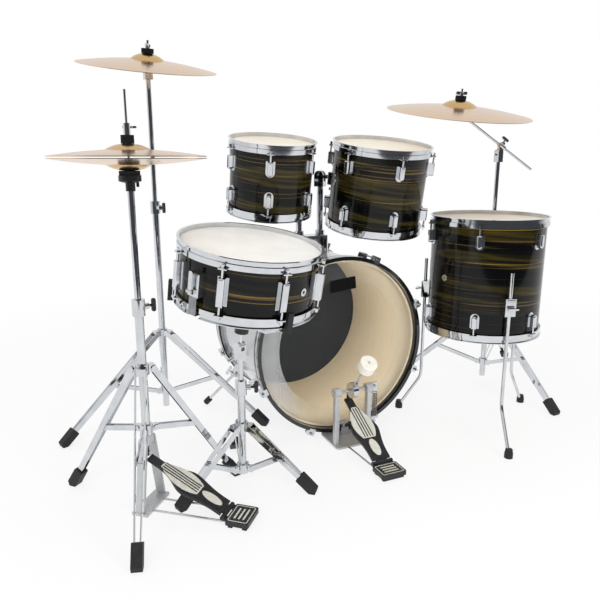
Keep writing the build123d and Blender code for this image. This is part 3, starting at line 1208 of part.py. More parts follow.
def snare_basket():
    """Tilting basket: hub with its stem, knob, three arms and the rubber tips that hold the drum."""
    radius = SNARE_DIAMETER / 2
    grip = radius + COLLAR_GAP + FILM + 2 * SEAT_GAP + HOOP_LIP + PART_GAP
    frame = Rot(0, 0, SNARE_LEAN_TOWARD) * hub(TILTER_HUB_RADIUS, TILTER_HUB_WIDTH, POST_ROD_RADIUS)
    frame += rod(UP * (TILTER_HUB_RADIUS - BITE), UP * BASKET_HUB_LOW, BASKET_STEM_RADIUS)
    frame += rod(UP * BASKET_HUB_LOW, UP * BASKET_HUB_HIGH, BASKET_HUB_RADIUS)
    root = Vector(BASKET_HUB_RADIUS - BITE, 0, (BASKET_HUB_LOW + BASKET_HUB_HIGH) / 2)
    end = Vector(radius, 0, SNARE_SEAT - TIP_THICK / 2)
    elbow = Vector(0.6 * radius, 0, root.Z + 0.3 * (end.Z - root.Z))
    arm = rod(root, elbow, BASKET_ARM_RADIUS) + rod(elbow, end, BASKET_ARM_RADIUS)
    arm += Pos(*elbow) * Sphere(BASKET_ARM_RADIUS)
    arm -= Cylinder(BASKET_HUB_RADIUS + SEAT_GAP, 4 * SNARE_SEAT)
    seat, tip_top = SNARE_SEAT - SEAT_GAP, SNARE_SEAT + TIP_RISE
    outline = Polyline(
        (seat, radius - TIP_THICK), (seat, grip), (tip_top, grip), (tip_top, grip + TIP_THICK),
        (seat - TIP_THICK, grip + TIP_THICK), (seat - TIP_THICK, radius - TIP_THICK), close=True)
    tip = extrude(AXIAL * make_face(outline), TIP_WIDTH / 2, both=True) - arm
    knob = ring(BASKET_KNOB_RADIUS, BASKET_STEM_RADIUS + SEAT_GAP, BASKET_KNOB_LOW, BASKET_HUB_LOW - SEAT_GAP)
    return [frame, knob] + [Rot(0, 0, angle) * piece for angle in BASKET_ANGLES for piece in (arm, tip)]


# Toms on the bass drum

def tom_frame(top, depth):
    """Frame at the middle of a rack tom's shell."""
    tipped = leaning(top, TOM_LEAN, TOM_LEAN_TOWARD)
    return Plane(top - tipped.z_dir * (depth / 2), x_dir=tipped.x_dir, z_dir=tipped.z_dir)


def tilt_pivot(tom, x):
    """Point over a holder post, in the plane across the middle of a tom."""
    run = Vector(x, HOLDER_Y, tom.origin.Z) - tom.origin
    return tom.origin + run - UP * (run.dot(tom.z_dir) / tom.z_dir.Z)


LEFT_TOM = tom_frame(LEFT_TOM_TOP, LEFT_TOM_DEPTH)
RIGHT_TOM = tom_frame(RIGHT_TOM_TOP, RIGHT_TOM_DEPTH)
LEFT_PIVOT = tilt_pivot(LEFT_TOM, -POST_SPREAD)
RIGHT_PIVOT = tilt_pivot(RIGHT_TOM, POST_SPREAD)


def tilt_axis(tom, pivot):
    """Level axis that a tom tips about on its post."""
    return UP.cross(tom.origin - pivot).normalized()


def tom_arm(tom, pivot, diameter):
    """Hub and arm on the holder's fork, and the bracket that bolts them to the tom."""
    axis = tilt_axis(tom, pivot)
    run = tom.origin - pivot
    reach = run.length - diameter / 2
    toward = run.normalized()
    knuckle = Plane(pivot, x_dir=toward, z_dir=toward.cross(axis))
    seat = Plane(pivot, x_dir=toward, z_dir=tom.z_dir)
    arm = hub(TILT_HUB_RADIUS, TILT_HUB_WIDTH, TILT_PIN)
    arm += rod(Vector(TILT_HUB_RADIUS - BITE, 0, 0), Vector(reach - PART_GAP, 0, 0), ARM_RADIUS)
    block = Box(BRACKET_DEPTH + SHELL_WALL, BRACKET_WIDTH, BRACKET_HEIGHT,
                align=(Align.MAX, Align.CENTER, Align.CENTER))
    block = Pos(reach + SHELL_WALL, 0, 0) * fillet(block.faces().sort_by(Axis.X)[0].edges(), BRACKET_ROUND)
    block -= Pos(reach + diameter / 2, 0, 0) * Cylinder(diameter / 2 + SEAT_GAP, 2 * BRACKET_HEIGHT)
    block -= rod(Vector(0, 0, 0), Vector(reach + diameter, 0, 0), ARM_RADIUS + SEAT_GAP)
    bolt_z = -BRACKET_HEIGHT / 2 - SEAT_GAP
    bolt = bolt_at(Vector(reach - BRACKET_DEPTH / 2, 0, bolt_z), Vector(0, 0, -1), wings=Vector(0, 1, 0))
    return placed(knuckle, [arm]) + placed(seat, [block, bolt])


def tom_holder():
    """Base on the bass drum, two posts with forks, their collars and wing bolts."""
    shell_top = BASS_Z + BASS_DIAMETER / 2
    base_top = shell_top + HOLDER_HEIGHT
    half = POST_SPREAD + 2 * POST_RADIUS
    base = Box(2 * half, HOLDER_LENGTH, 2 * HOLDER_HEIGHT, align=(Align.CENTER, Align.CENTER, Align.MAX))
    base = Pos(0, HOLDER_Y, base_top) * fillet(base.edges().filter_by(Axis.Z), HOLDER_ROUND)
    drum = Cylinder(BASS_DIAMETER / 2 + SEAT_GAP, 2 * HOLDER_LENGTH)
    base -= Pos(0, HOLDER_Y, BASS_Z) * Rot(90, 0, 0) * drum
    pieces = []
    for x, tom, pivot in ((-POST_SPREAD, LEFT_TOM, LEFT_PIVOT), (POST_SPREAD, RIGHT_TOM, RIGHT_PIVOT)):
        low = Vector(x, HOLDER_Y, base_top - POST_SINK)
        base -= rod(low, low + UP * HOLDER_HEIGHT * 2, POST_RADIUS + SEAT_GAP)
        axis = tilt_axis(tom, pivot)
        yoke = Plane(pivot, x_dir=axis.cross(UP), z_dir=UP)
        stem = fork(TILT_HUB_RADIUS, TILT_HUB_WIDTH, TILT_PIN, FORK_CHEEK, FORK_STEM)
        post = rod(low + UP * SEAT_GAP, pivot - UP * (FORK_STEM - BITE), POST_RADIUS)
        pieces.append(post + yoke.location * stem)
        lock = ring(POST_RADIUS + LOCK_WALL, POST_RADIUS + SEAT_GAP, 0, LOCK_HEIGHT)
        pieces.append(Pos(x, HOLDER_Y, base_top + SEAT_GAP) * lock)
        side = TILT_HUB_WIDTH / 2 + PART_GAP + FORK_CHEEK + SEAT_GAP
        pieces.append(bolt_at(pivot + axis * side, axis))
        grip = Vector(x, HOLDER_Y - HOLDER_LENGTH / 2 - SEAT_GAP, base_top - HOLDER_HEIGHT / 2)
        pieces.append(bolt_at(grip, Vector(0, -1, 0)))
    return [base] + pieces


# Spurs and floor tom legs

def spur_frame(side):
    """Pivot, level splay direction, hinge axis and leg direction of a bass drum spur."""
    angle = SPUR_ANGLE if side < 0 else 180 - SPUR_ANGLE
    out = polar(BASS_DIAMETER / 2 + SPUR_STAND_OFF, angle)
    pivot = Vector(out.X, SPUR_Y, BASS_Z + out.Y)
    splay = math.radians(SPUR_SPLAY)
    rake = math.radians(SPUR_RAKE)
    down = Vector(side * math.cos(splay), 0, -math.sin(splay))
    leg = down * math.cos(rake) + Vector(0, 1, 0) * math.sin(rake)
    return pivot, down, down.cross(Vector(0, 1, 0)), leg


def spur_bracket(side):
    """Fork on the bass shell that a spur folds in, and its wing bolt."""
    pivot, down, hinge, leg = spur_frame(side)
    yoke = Plane(pivot, x_dir=hinge.cross(down), z_dir=down)
    body = fork(TILTER_HUB_RADIUS, TILTER_HUB_WIDTH, POST_ROD_RADIUS, FORK_CHEEK, SPUR_STAND_OFF * 1.4)
    body = yoke.location * body
    body -= Pos(0, SPUR_Y, BASS_Z) * Rot(90, 0, 0) * Cylinder(BASS_DIAMETER / 2 + SEAT_GAP, 4 * FORK_STEM)
    reach = TILTER_HUB_WIDTH / 2 + PART_GAP + FORK_CHEEK + SEAT_GAP
    outer_side = hinge if hinge.Z > 0 else -hinge
    return [body, bolt_at(pivot + outer_side * reach, outer_side)]


def spur(side):
    """Spur leg with its hub and rubber tip."""
    pivot, down, hinge, leg = spur_frame(side)
    end_drop = SPUR_TIP_RADIUS * math.sqrt(1 - leg.Z ** 2)
    length = (pivot.Z - end_drop) / -leg.Z
    bar = hub(TILTER_HUB_RADIUS, TILTER_HUB_WIDTH, POST_ROD_RADIUS)
    bar += rod(UP * (TILTER_HUB_RADIUS - BITE), UP * (length - SPUR_RADIUS), SPUR_RADIUS)
    bore = SPUR_RADIUS + SEAT_GAP
    rubber = turned(
        (bore, length - SPUR_TIP_LENGTH), (SPUR_TIP_RADIUS, length - SPUR_TIP_LENGTH),
        (SPUR_TIP_RADIUS, length), (0, length), (0, length - SPUR_RADIUS + SEAT_GAP),
        (bore, length - SPUR_RADIUS + SEAT_GAP))
    return placed(Plane(pivot, x_dir=hinge.cross(leg), z_dir=leg), [bar, rubber])


def floor_tom_leg(angle):
    """Leg of the floor tom, bent outwards near the floor, and its rubber foot."""
    straight = FLOOR_TOM_DIAMETER / 2 + LEG_OFFSET
    foot_radius = FLOOR_TOM_DIAMETER / 2 + LEG_FOOT_OFFSET
    top = Vector(straight, 0, LEG_TOP_Z)
    bend = Vector(straight, 0, LEG_BEND_Z)
    end = Vector(foot_radius, 0, LEG_FOOT_HEIGHT / 3)
    path = FilletPolyline(top, bend, end, radius=LEG_BEND_RADIUS)
    bar = sweep(Plane(top, z_dir=-UP) * Circle(LEG_RADIUS), path)
    foot = turned((0, 0), (LEG_FOOT_WIDTH, 0), (LEG_FOOT_WIDTH, LEG_FOOT_HEIGHT / 2),
                  (LEG_FOOT_WIDTH * 0.8, LEG_FOOT_HEIGHT), (0, LEG_FOOT_HEIGHT))
    foot = Pos(foot_radius, 0, 0) * foot - bar
    return [Pos(FLOOR_TOM_TOP.X, FLOOR_TOM_TOP.Y, 0) * Rot(0, 0, angle) * piece for piece in (bar, foot)]


def leg_brackets():
    """Brackets on the floor tom that grip its legs, each with a wing bolt, about the tom's axis."""
    radius = FLOOR_TOM_DIAMETER / 2
    top = radius + LEG_OFFSET + LEG_RADIUS + CLAMP_WALL
    block = Box(LEG_BRACKET_WIDTH, LEG_BRACKET_HEIGHT, top - radius + SHELL_WALL, align=STAND)
    block = fillet(block.faces().sort_by(Axis.Z)[-1].edges(), BRACKET_ROUND)
    block = Pos(0, 0, radius - SHELL_WALL) * block
    block -= Rot(90, 0, 0) * Cylinder(radius + SEAT_GAP, 2 * LEG_BRACKET_HEIGHT)
    bore = Rot(90, 0, 0) * Cylinder(LEG_RADIUS + SLIDE_GAP, 2 * LEG_BRACKET_HEIGHT)
    block -= Pos(0, 0, radius + LEG_OFFSET) * bore
    bolt = bolt_at(Vector(0, 0, top + SEAT_GAP), UP)
    return [outward(angle, LEG_BRACKET_Z).location * piece for angle in LEG_ANGLES for piece in (block, bolt)]


# Write every piece

def save_tom(name, frame, diameter, depth, first_lug):
    """Shell, heads, hoops and tension hardware of a tom."""
    angles = lug_angles(TOM_LUGS, first_lug)
    save(f"{name}_shell", *placed(frame, [shell(diameter, depth, SHELL_WALL)]))
    save(f"{name}_heads", *placed(frame, both_heads(diameter, depth)))
    save(f"{name}_hoops", *placed(frame, both_hoops(diameter, depth, angles)))
    save(f"{name}_tension_hardware", *placed(frame, tom_lugs_and_rods(diameter, depth, angles)))


def save_bass_drum():
    batter, front = placed(BASS, both_heads(BASS_DIAMETER, BASS_DEPTH, BASS_FLESH_WIDTH, BASS_FLESH_DROP))
    rim = bass_hoop()
    rims = [Pos(0, 0, BASS_DEPTH / 2) * rim, Pos(0, 0, -BASS_DEPTH / 2) * Rot(180, 0, 0) * rim]
    save("bass_shell", *placed(BASS, [shell(BASS_DIAMETER, BASS_DEPTH, BASS_WALL)]))
    save("bass_batter_head", batter)
    save("bass_front_head", front)
    save("bass_hoops", *placed(BASS, rims))
    save("bass_hardware", *placed(BASS, bass_tension()), *spur_bracket(-1), *spur_bracket(1))
    save("spur_left", *spur(-1))
    save("spur_right", *spur(1))


def save_rack_toms():
    save("tom_holder", *tom_holder())
    save("left_tom_arm", *tom_arm(LEFT_TOM, LEFT_PIVOT, LEFT_TOM_DIAMETER))
    save("right_tom_arm", *tom_arm(RIGHT_TOM, RIGHT_PIVOT, RIGHT_TOM_DIAMETER))
    save_tom("left_tom", LEFT_TOM, LEFT_TOM_DIAMETER, LEFT_TOM_DEPTH, LEFT_TOM_FIRST_LUG)
    save_tom("right_tom", RIGHT_TOM, RIGHT_TOM_DIAMETER, RIGHT_TOM_DEPTH, RIGHT_TOM_FIRST_LUG)


def save_floor_tom():
    frame = Plane(FLOOR_TOM_TOP - UP * (FLOOR_TOM_DEPTH / 2), x_dir=(1, 0, 0), z_dir=UP)
    angles = lug_angles(TOM_LUGS, FLOOR_TOM_FIRST_LUG)
    body = shell(FLOOR_TOM_DIAMETER, FLOOR_TOM_DEPTH, SHELL_WALL, FLOOR_TOM_VENT_ANGLE)
    grommet = vent(FLOOR_TOM_DIAMETER, SHELL_WALL, FLOOR_TOM_VENT_ANGLE)
    tension = tom_lugs_and_rods(FLOOR_TOM_DIAMETER, FLOOR_TOM_DEPTH, angles)
    floor_axis = Plane((FLOOR_TOM_TOP.X, FLOOR_TOM_TOP.Y, 0), x_dir=(1, 0, 0), z_dir=UP)
    save("floor_tom_shell", *placed(frame, [body]))
    save("floor_tom_heads", *placed(frame, both_heads(FLOOR_TOM_DIAMETER, FLOOR_TOM_DEPTH)))
    save("floor_tom_hoops", *placed(frame, both_hoops(FLOOR_TOM_DIAMETER, FLOOR_TOM_DEPTH, angles)))
    save("floor_tom_hardware", *placed(frame, tension + [grommet]), *placed(floor_axis, leg_brackets()))
    for i, angle in enumerate(LEG_ANGLES, start=1):
        save(f"floor_tom_leg_{i}", *floor_tom_leg(angle))


def save_snare():
    angles = lug_angles(SNARE_LUGS, SNARE_FIRST_LUG)
    body = shell(SNARE_DIAMETER, SNARE_DEPTH, SHELL_WALL, SNARE_VENT_ANGLE)
    grommet = vent(SNARE_DIAMETER, SHELL_WALL, SNARE_VENT_ANGLE)
    save("snare_shell", *placed(SNARE, [body]))
    save("snare_heads", *placed(SNARE, both_heads(SNARE_DIAMETER, SNARE_DEPTH)))
    save("snare_hoops", *placed(SNARE, snare_hoops(angles)))
    save("snare_tension_hardware", *placed(SNARE, snare_lugs_and_rods(angles) + [grommet]))
    save("snare_strainer", *placed(SNARE, strainer()))
    save("snare_wires", *placed(SNARE, snare_wires()))
    save("throw_off_lever", *placed(SNARE, [throw_off_lever()]))
    save("snare_stand_tube", *base_tube(SNARE_STAND_X, SNARE_STAND_Y, BASE_TUBE_BOTTOM, SNARE_CLAMP_Z,
                                        SNARE_WING_ANGLE))
    save("snare_stand_tripod", *tripod(SNARE_STAND_X, SNARE_STAND_Y, SNARE_UPPER_COLLAR, SNARE_LOWER_COLLAR,
                                       SNARE_FOOT_RADIUS, SNARE_FIRST_FOOT))
    save("snare_stand_upper_tube", upper_tube(SNARE_STAND_X, SNARE_STAND_Y, SNARE_CLAMP_Z - SNARE_TUBE_INSERT,
                                              SNARE_PIVOT_Z, SNARE_LEAN_TOWARD))
    save("snare_basket", *placed(SNARE_TILT, snare_basket()))


def save_kick_pedal():
    save("kick_pedal_frame", *kick_frame())
    save("kick_spring", pedal_spring())
    save("kick_beater", *kick_beater())
    save("kick_footboard", *kick_footboard())


def save_hi_hat():
    save("hi_hat_frame", *hat_frame())
    save("hi_hat_tripod", *tripod(HAT_X, HAT_Y, HAT_UPPER_COLLAR, HAT_LOWER_COLLAR,
                                  HAT_FOOT_RADIUS, HAT_FIRST_FOOT))
    save("hi_hat_upper_tube", *hat_upper_tube())
    save("hi_hat_pull_rod", *hat_pull_rod())
    save("hi_hat_clutch", *hat_clutch())
    save("hi_hat_bottom_cymbal", hat_cymbal(HAT_BELL_LOW, 180))
    save("hi_hat_top_cymbal", hat_cymbal(HAT_BELL_HIGH, 0))
    save("hi_hat_footboard", *placed(HAT_PEDAL, [pedal_board(HAT_HINGE)]))


def save_crash():
    save("crash_base_tube", *base_tube(CRASH_X, CRASH_Y, BASE_TUBE_BOTTOM, CRASH_CLAMP_Z, CRASH_WING_ANGLE))
    save("crash_tripod", *tripod(CRASH_X, CRASH_Y, CRASH_UPPER_COLLAR, CRASH_LOWER_COLLAR,
                                 CRASH_FOOT_RADIUS, CRASH_FIRST_FOOT))
    save("crash_upper_tube", upper_tube(CRASH_X, CRASH_Y, CRASH_CLAMP_Z - CRASH_TUBE_INSERT,
                                        CRASH_PIVOT_Z, CRASH_LEAN_TOWARD))
    turned_post = [Rot(0, 0, CRASH_LEAN_TOWARD) * piece for piece in cymbal_post()]
    save("crash_tilter", *placed(CRASH_TILT, turned_post))
    disc = cymbal(CRASH_DIAMETER, CRASH_BELL_RADIUS, CRASH_BELL_RISE, CRASH_BOW_RISE)
    save("crash_cymbal", *placed(CRASH_TILT, [Pos(0, 0, CYMBAL_HEIGHT) * disc]))


def save_ride():
    save("ride_base_tube", *base_tube(RIDE_X, RIDE_Y, BASE_TUBE_BOTTOM, RIDE_CLAMP_Z, RIDE_WING_ANGLE))
    save("ride_tripod", *tripod(RIDE_X, RIDE_Y, RIDE_UPPER_COLLAR, RIDE_LOWER_COLLAR,
                                RIDE_FOOT_RADIUS, RIDE_FIRST_FOOT))
    save("ride_upper_tube", upper_tube(RIDE_X, RIDE_Y, RIDE_CLAMP_Z - RIDE_TUBE_INSERT, RIDE_PIVOT_Z, 0))
    save("ride_boom_clamp", *boom_clamp())
    save("ride_boom_arm", boom_arm())
    save("ride_tilter", *placed(RIDE_TILT, cymbal_post()))
    disc = cymbal(RIDE_DIAMETER, RIDE_BELL_RADIUS, RIDE_BELL_RISE, RIDE_BOW_RISE)
    save("ride_cymbal", *placed(RIDE_TILT, [Pos(0, 0, CYMBAL_HEIGHT) * disc]))


def main():
    os.makedirs("parts", exist_ok=True)
    save_bass_drum()
    save_rack_toms()
    save_floor_tom()
    save_snare()
    save_kick_pedal()
    save_hi_hat()
    save_crash()
    save_ride()


if __name__ == "__main__":
    main()
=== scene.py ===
# %% [markdown]
# # Dressing an acoustic drum kit
# The CAD frame brings every drum, stand, pedal and cymbal at its real size and place.

# %% Load the frame
import math
import bmesh
import bpy
import numpy as np
from mathutils import Matrix, Vector


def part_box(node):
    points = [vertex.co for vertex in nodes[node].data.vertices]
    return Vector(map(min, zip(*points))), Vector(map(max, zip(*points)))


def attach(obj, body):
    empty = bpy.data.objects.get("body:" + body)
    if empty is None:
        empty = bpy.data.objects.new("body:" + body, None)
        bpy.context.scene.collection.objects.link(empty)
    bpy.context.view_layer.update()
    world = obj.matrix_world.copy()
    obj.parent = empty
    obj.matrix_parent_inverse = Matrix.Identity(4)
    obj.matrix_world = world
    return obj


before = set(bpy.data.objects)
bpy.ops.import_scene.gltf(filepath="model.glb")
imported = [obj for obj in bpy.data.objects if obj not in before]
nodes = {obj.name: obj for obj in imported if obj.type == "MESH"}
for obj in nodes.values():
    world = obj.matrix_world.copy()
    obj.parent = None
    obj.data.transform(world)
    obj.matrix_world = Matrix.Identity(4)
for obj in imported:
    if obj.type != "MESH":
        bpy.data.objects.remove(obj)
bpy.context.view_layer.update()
MM = 0.001
print("loaded", len(nodes), "nodes")

# %% [markdown]
# ## Camera
# A lens near 35 mm gives the spread between the near hi-hat and the far ride.

# %% Camera
LENS, SENSOR = 35.5, 36
EYE = (-0.865, -1.598, 0.893)
TIP_DOWN, TURN_RIGHT = 13.5, 24
camera = bpy.data.objects.new("camera", bpy.data.cameras.new("camera"))
bpy.context.scene.collection.objects.link(camera)
camera.data.lens, camera.data.sensor_width = LENS, SENSOR
camera.location = EYE
camera.rotation_euler = (math.radians(90 - TIP_DOWN), 0, math.radians(-TURN_RIGHT))
bpy.context.scene.camera = camera
bpy.context.scene.view_settings.view_transform = "Standard"
print("camera at", EYE)

# %% [markdown]
# ## Tools for materials
# Colours are written as sRGB hex, as a paint chart gives them, and turned to linear by one function. A
# second one adds any shader node with its settings and links, so that each finish below reads as a recipe.

# %% Tools for materials


def colour(text):
    """Linear colour from an sRGB hex text."""
    parts = [int(text[i:i + 2], 16) / 255 for i in (1, 3, 5)]
    return [c / 12.92 if c <= 0.04045 else ((c + 0.055) / 1.055) ** 2.4 for c in parts] + [1.0]


def add(tree, kind, inputs=None, stops=(), **settings):
    """Adds a shader node; an input is a value or the socket that feeds it, and stops fill a colour ramp."""
    node = tree.nodes.new("ShaderNode" + kind)
    for key, value in settings.items():
        setattr(node, key, value)
    for key, value in (inputs or {}).items():
        if isinstance(value, bpy.types.NodeSocket):
            tree.links.new(value, node.inputs[key])
        else:
            node.inputs[key].default_value = value
    for number, (position, tone) in enumerate(stops):
        edges = node.color_ramp.elements
        edge = edges[number] if number < 2 else edges.new(position)
        edge.position, edge.color = position, colour(tone)
    return node


def finish(name, **sockets):
    made = bpy.data.materials.new(name)
    made.use_nodes = True
    tree = made.node_tree
    shader = tree.nodes["Principled BSDF"]
    for key, value in sockets.items():
        shader.inputs[key.replace("_", " ")].default_value = value
    return made, tree, shader, add(tree, "TexCoord").outputs["Object"]


def feed(tree, shader, **sockets):
    """Links sockets to the shader's inputs of those names."""
    for key, socket in sockets.items():
        tree.links.new(socket, shader.inputs[key.replace("_", " ")])


print("black and white check:", colour("#000000"), colour("#FFFFFF"))

# %% [markdown]
# ## Plated and cast metal
# Hoops, lugs, tubes and legs are chromed steel. Springs and snare wires are bare drawn steel, and the rims
# of the heads are rolled aluminium. The pedal frames are cast alloy under a dull skin, so they are only
# partly metallic. One recipe makes all four: a noise as large as the polishing haze drifts the tone and the
# roughness, and a finer one gives the ripples of the surface.

# %% Metals
RIPPLE_DEPTH = 0.05 * MM


def bright_metal(name, tone, dim, smooth, rough, haze, grain, ripple, metal=1.0):
    """Metal whose tone and roughness drift over haze, with ripples of the size of grain, both in metres."""
    made, tree, shader, where = finish(name, Metallic=metal)
    cloud = add(tree, "TexNoise", {"Vector": where, "Scale": 1 / haze, "Detail": 5.0}).outputs[0]
    tint = add(tree, "ValToRGB", {"Fac": cloud}, stops=((0.3, tone), (0.75, dim))).outputs[0]
    gloss = add(tree, "MapRange", {"Value": cloud, "To Min": smooth, "To Max": rough}).outputs[0]
    fine = add(tree, "TexNoise", {"Vector": where, "Scale": 1 / grain, "Detail": 2.0}).outputs[0]
    relief = add(tree, "Bump", {"Height": fine, "Strength": ripple, "Distance": RIPPLE_DEPTH}).outputs[0]
    feed(tree, shader, Base_Color=tint, Roughness=gloss, Normal=relief)
    return made


# Plated and buffed: a mirror with a faint haze.
CHROME = bright_metal("bright_chrome_plate", "#D9DBDE", "#C6C9CD", smooth=0.04, rough=0.1,
                      haze=40 * MM, grain=1.5 * MM, ripple=0.04)
# Drawn through a die: darker, with a soft shine.
STEEL = bright_metal("drawn_spring_steel", "#9C9EA2", "#84868A", smooth=0.18, rough=0.3,
                     haze=20 * MM, grain=1.5 * MM, ripple=0.1)
# Cast in a mould: pale and satin, with the grain of the mould.
CAST = bright_metal("satin_cast_alloy", "#C3C5C6", "#B2B4B6", smooth=0.3, rough=0.44,
                    haze=6 * MM, grain=1.0 * MM, ripple=0.4, metal=0.45)
# Rolled from sheet: whiter and softer than chrome.
ROLLED = bright_metal("rolled_aluminium", "#C9CACC", "#B5B7BA", smooth=0.2, rough=0.32,
                      haze=25 * MM, grain=1.5 * MM, ripple=0.15)
print("metals:", CHROME.name, STEEL.name, CAST.name, ROLLED.name)

# %% [markdown]
# ## Rubber, felt, plastic and powder coat
# These are all dull, and what tells them apart is their grain and how rough they are: moulded plastic has a
# soft shine, rubber is flat, and wool felt scatters light from a fibrous surface. The grain is drawn about
# 1 mm wide, coarser than the real one, so that it shows.

# %% Dull finishes
TONE_PATCH = 14 * MM   # size of the patches of lighter and darker tone
SMOOTHER, ROUGHER = 0.05, 0.06   # how far the roughness drifts either way


def dull(name, dark, light, rough, grain, height):
    """Dull finish that drifts between two tones, with relief of that grain and height in metres."""
    made, tree, shader, where = finish(name)
    cloud = add(tree, "TexNoise", {"Vector": where, "Scale": 1 / TONE_PATCH, "Detail": 3.0}).outputs[0]
    tint = add(tree, "ValToRGB", {"Fac": cloud}, stops=((0.3, dark), (0.7, light))).outputs[0]
    gloss = add(tree, "MapRange", {
        "Value": cloud, "To Min": rough - SMOOTHER, "To Max": rough + ROUGHER}).outputs[0]
    fine = add(tree, "TexNoise", {
        "Vector": where, "Scale": 1 / grain, "Detail": 6.0, "Roughness": 0.7}).outputs[0]
    relief = add(tree, "Bump", {"Height": fine, "Strength": 0.5, "Distance": height}).outputs[0]
    feed(tree, shader, Base_Color=tint, Roughness=gloss, Normal=relief)
    return made


# Each has its dark and light tone, then its roughness, grain and relief.
PLASTIC = dull("moulded_black_plastic", "#101012", "#1A1A1D", 0.35, 0.8 * MM, 0.05 * MM)   # soft shine
RUBBER = dull("black_rubber", "#131314", "#1F1F20", 0.62, 1.2 * MM, 0.12 * MM)   # flat and a little dusty
BLACK_FELT = dull("black_wool_felt", "#0E0E10", "#1B1B1D", 0.93, 0.7 * MM, 0.35 * MM)   # no shine at all
WHITE_FELT = dull("white_wool_felt", "#E2DDD1", "#EDE9DF", 0.92, 0.9 * MM, 0.4 * MM)   # warm and fibrous
POWDER = dull("black_powder_coat", "#141517", "#1E1F22", 0.42, 0.6 * MM, 0.06 * MM)   # even satin skin
TREAD = dull("pale_grit_tread", "#C9C8BE", "#D8D6CB", 0.6, 1.0 * MM, 0.2 * MM)   # grit set in pale paint
dulls = (PLASTIC, RUBBER, BLACK_FELT, WHITE_FELT, POWDER, TREAD)
print("dull finishes:", ", ".join(one.name for one in dulls))

# %% [markdown]
# ## Shells
# The toms and the snare wear a gloss black wrap with olive-gold streaks that run round the shell. The
# streaks are noise that is stretched far round the drum and squeezed along its axis: broad olive bands, and
# fine gold and brown lines on top, which are strongest where a band is. The shift of each layer takes it
# from another part of the noise. A thin clear coat over it gives the shine.

# %% Streaked wrap
STREAK = 320 * MM   # length of a streak round the drum
BAND, GOLD_LINE, BROWN_LINE = 30 * MM, 5 * MM, 8 * MM   # heights along the drum's axis
STREAK_LAYERS = ((BAND, 0.0), (GOLD_LINE, 5.0), (BROWN_LINE, 11.0))   # height and shift
BAND_TONES = ((0.44, "#060708"), (0.7, "#1A190E"), (0.54, "#11110B"), (0.61, "#322C10"))
LINE_FROM, LINE_FULL = 0.62, 0.7   # level of the noise where a line begins and where it is full
BROWN, GOLD = "#5E4429", "#7E6A30"


def streaked_wrap(name, axis):
    """Streaked wrap of a drum with that axis."""
    made, tree, shader, where = finish(
        name, Roughness=0.1, Specular_IOR_Level=0.2, Coat_Weight=0.05, Coat_Roughness=0.03)
    along = add(tree, "VectorMath", {0: where, 1: axis}, operation="DOT_PRODUCT").outputs["Value"]
    stretched = add(tree, "VectorMath", {0: where, "Scale": 1 / STREAK}, operation="SCALE").outputs["Vector"]
    streaks = []
    for height, shift in STREAK_LAYERS:
        tall = add(tree, "Math", {0: along, 1: 1 / height, 2: shift}, operation="MULTIPLY_ADD").outputs[0]
        lift = add(tree, "CombineXYZ", {"X": tall}).outputs[0]
        field = add(tree, "VectorMath", {0: stretched, 1: lift}, operation="ADD").outputs["Vector"]
        streaks.append(add(tree, "TexNoise", {"Vector": field, "Scale": 1.0, "Detail": 2.5}).outputs[0])
    bands, gold, brown = streaks
    tone = add(tree, "ValToRGB", {"Fac": bands}, stops=BAND_TONES).outputs[0]
    strength = add(tree, "MapRange", {
        "Value": bands, "From Min": 0.4, "From Max": 0.62, "To Min": 0.25, "To Max": 0.95}).outputs[0]
    for lines, shade in ((brown, BROWN), (gold, GOLD)):
        share = add(tree, "MapRange", {
            "Value": lines, "From Min": LINE_FROM, "From Max": LINE_FULL}).outputs[0]
        amount = add(tree, "Math", {0: share, 1: strength}, operation="MULTIPLY").outputs[0]
        tone = add(tree, "Mix", {0: amount, 6: tone, 7: colour(shade)}, data_type="RGBA").outputs[2]
    feed(tree, shader, Base_Color=tone)
    return made


def leaning(lean, towards):
    """Axis that leans off the vertical by an angle towards a heading, both in degrees."""
    tip, turn = math.radians(lean), math.radians(towards)
    return Vector((math.sin(tip) * math.cos(turn), math.sin(tip) * math.sin(turn), math.cos(tip)))


UPRIGHT = Vector((0, 0, 1))
RACK_AXIS, SNARE_AXIS = leaning(10.5, -90), leaning(10, -63)
RACK_WRAP = streaked_wrap("streaked_wrap_rack_toms", RACK_AXIS)
FLOOR_WRAP = streaked_wrap("streaked_wrap_floor_tom", UPRIGHT)
SNARE_WRAP = streaked_wrap("streaked_wrap_snare", SNARE_AXIS)
print("wraps:", RACK_WRAP.name, FLOOR_WRAP.name, SNARE_WRAP.name)

# %% [markdown]
# Inside, the shells are bare maple ply, matt and pale, with its grain round the drum: the noise is squeezed
# along the bass drum's axis, where it shows. The bass shell's outside has a silver-grey lacquer with a fine
# flake that glints under its clear coat.

# %% Ply and lacquer
PLY_FIGURE = (12, 120, 12)   # to the metre: figure 83 mm long round the drum and 8.3 mm wide along its axis
PLY_RELIEF = 0.2 * MM
PLY_TONES = ((0.3, "#E2D2B0"), (0.8, "#D8C59F"), (0.55, "#EADCC1"))
PLY, tree, shader, where = finish("bare_maple_ply", Roughness=0.55)
grain = add(tree, "Mapping", {"Vector": where, "Scale": PLY_FIGURE}).outputs[0]
figure = add(tree, "TexNoise", {"Vector": grain, "Scale": 1.0, "Detail": 8.0, "Roughness": 0.65}).outputs[0]
tint = add(tree, "ValToRGB", {"Fac": figure}, stops=PLY_TONES).outputs[0]
relief = add(tree, "Bump", {"Height": figure, "Strength": 0.15, "Distance": PLY_RELIEF}).outputs[0]
feed(tree, shader, Base_Color=tint, Normal=relief)

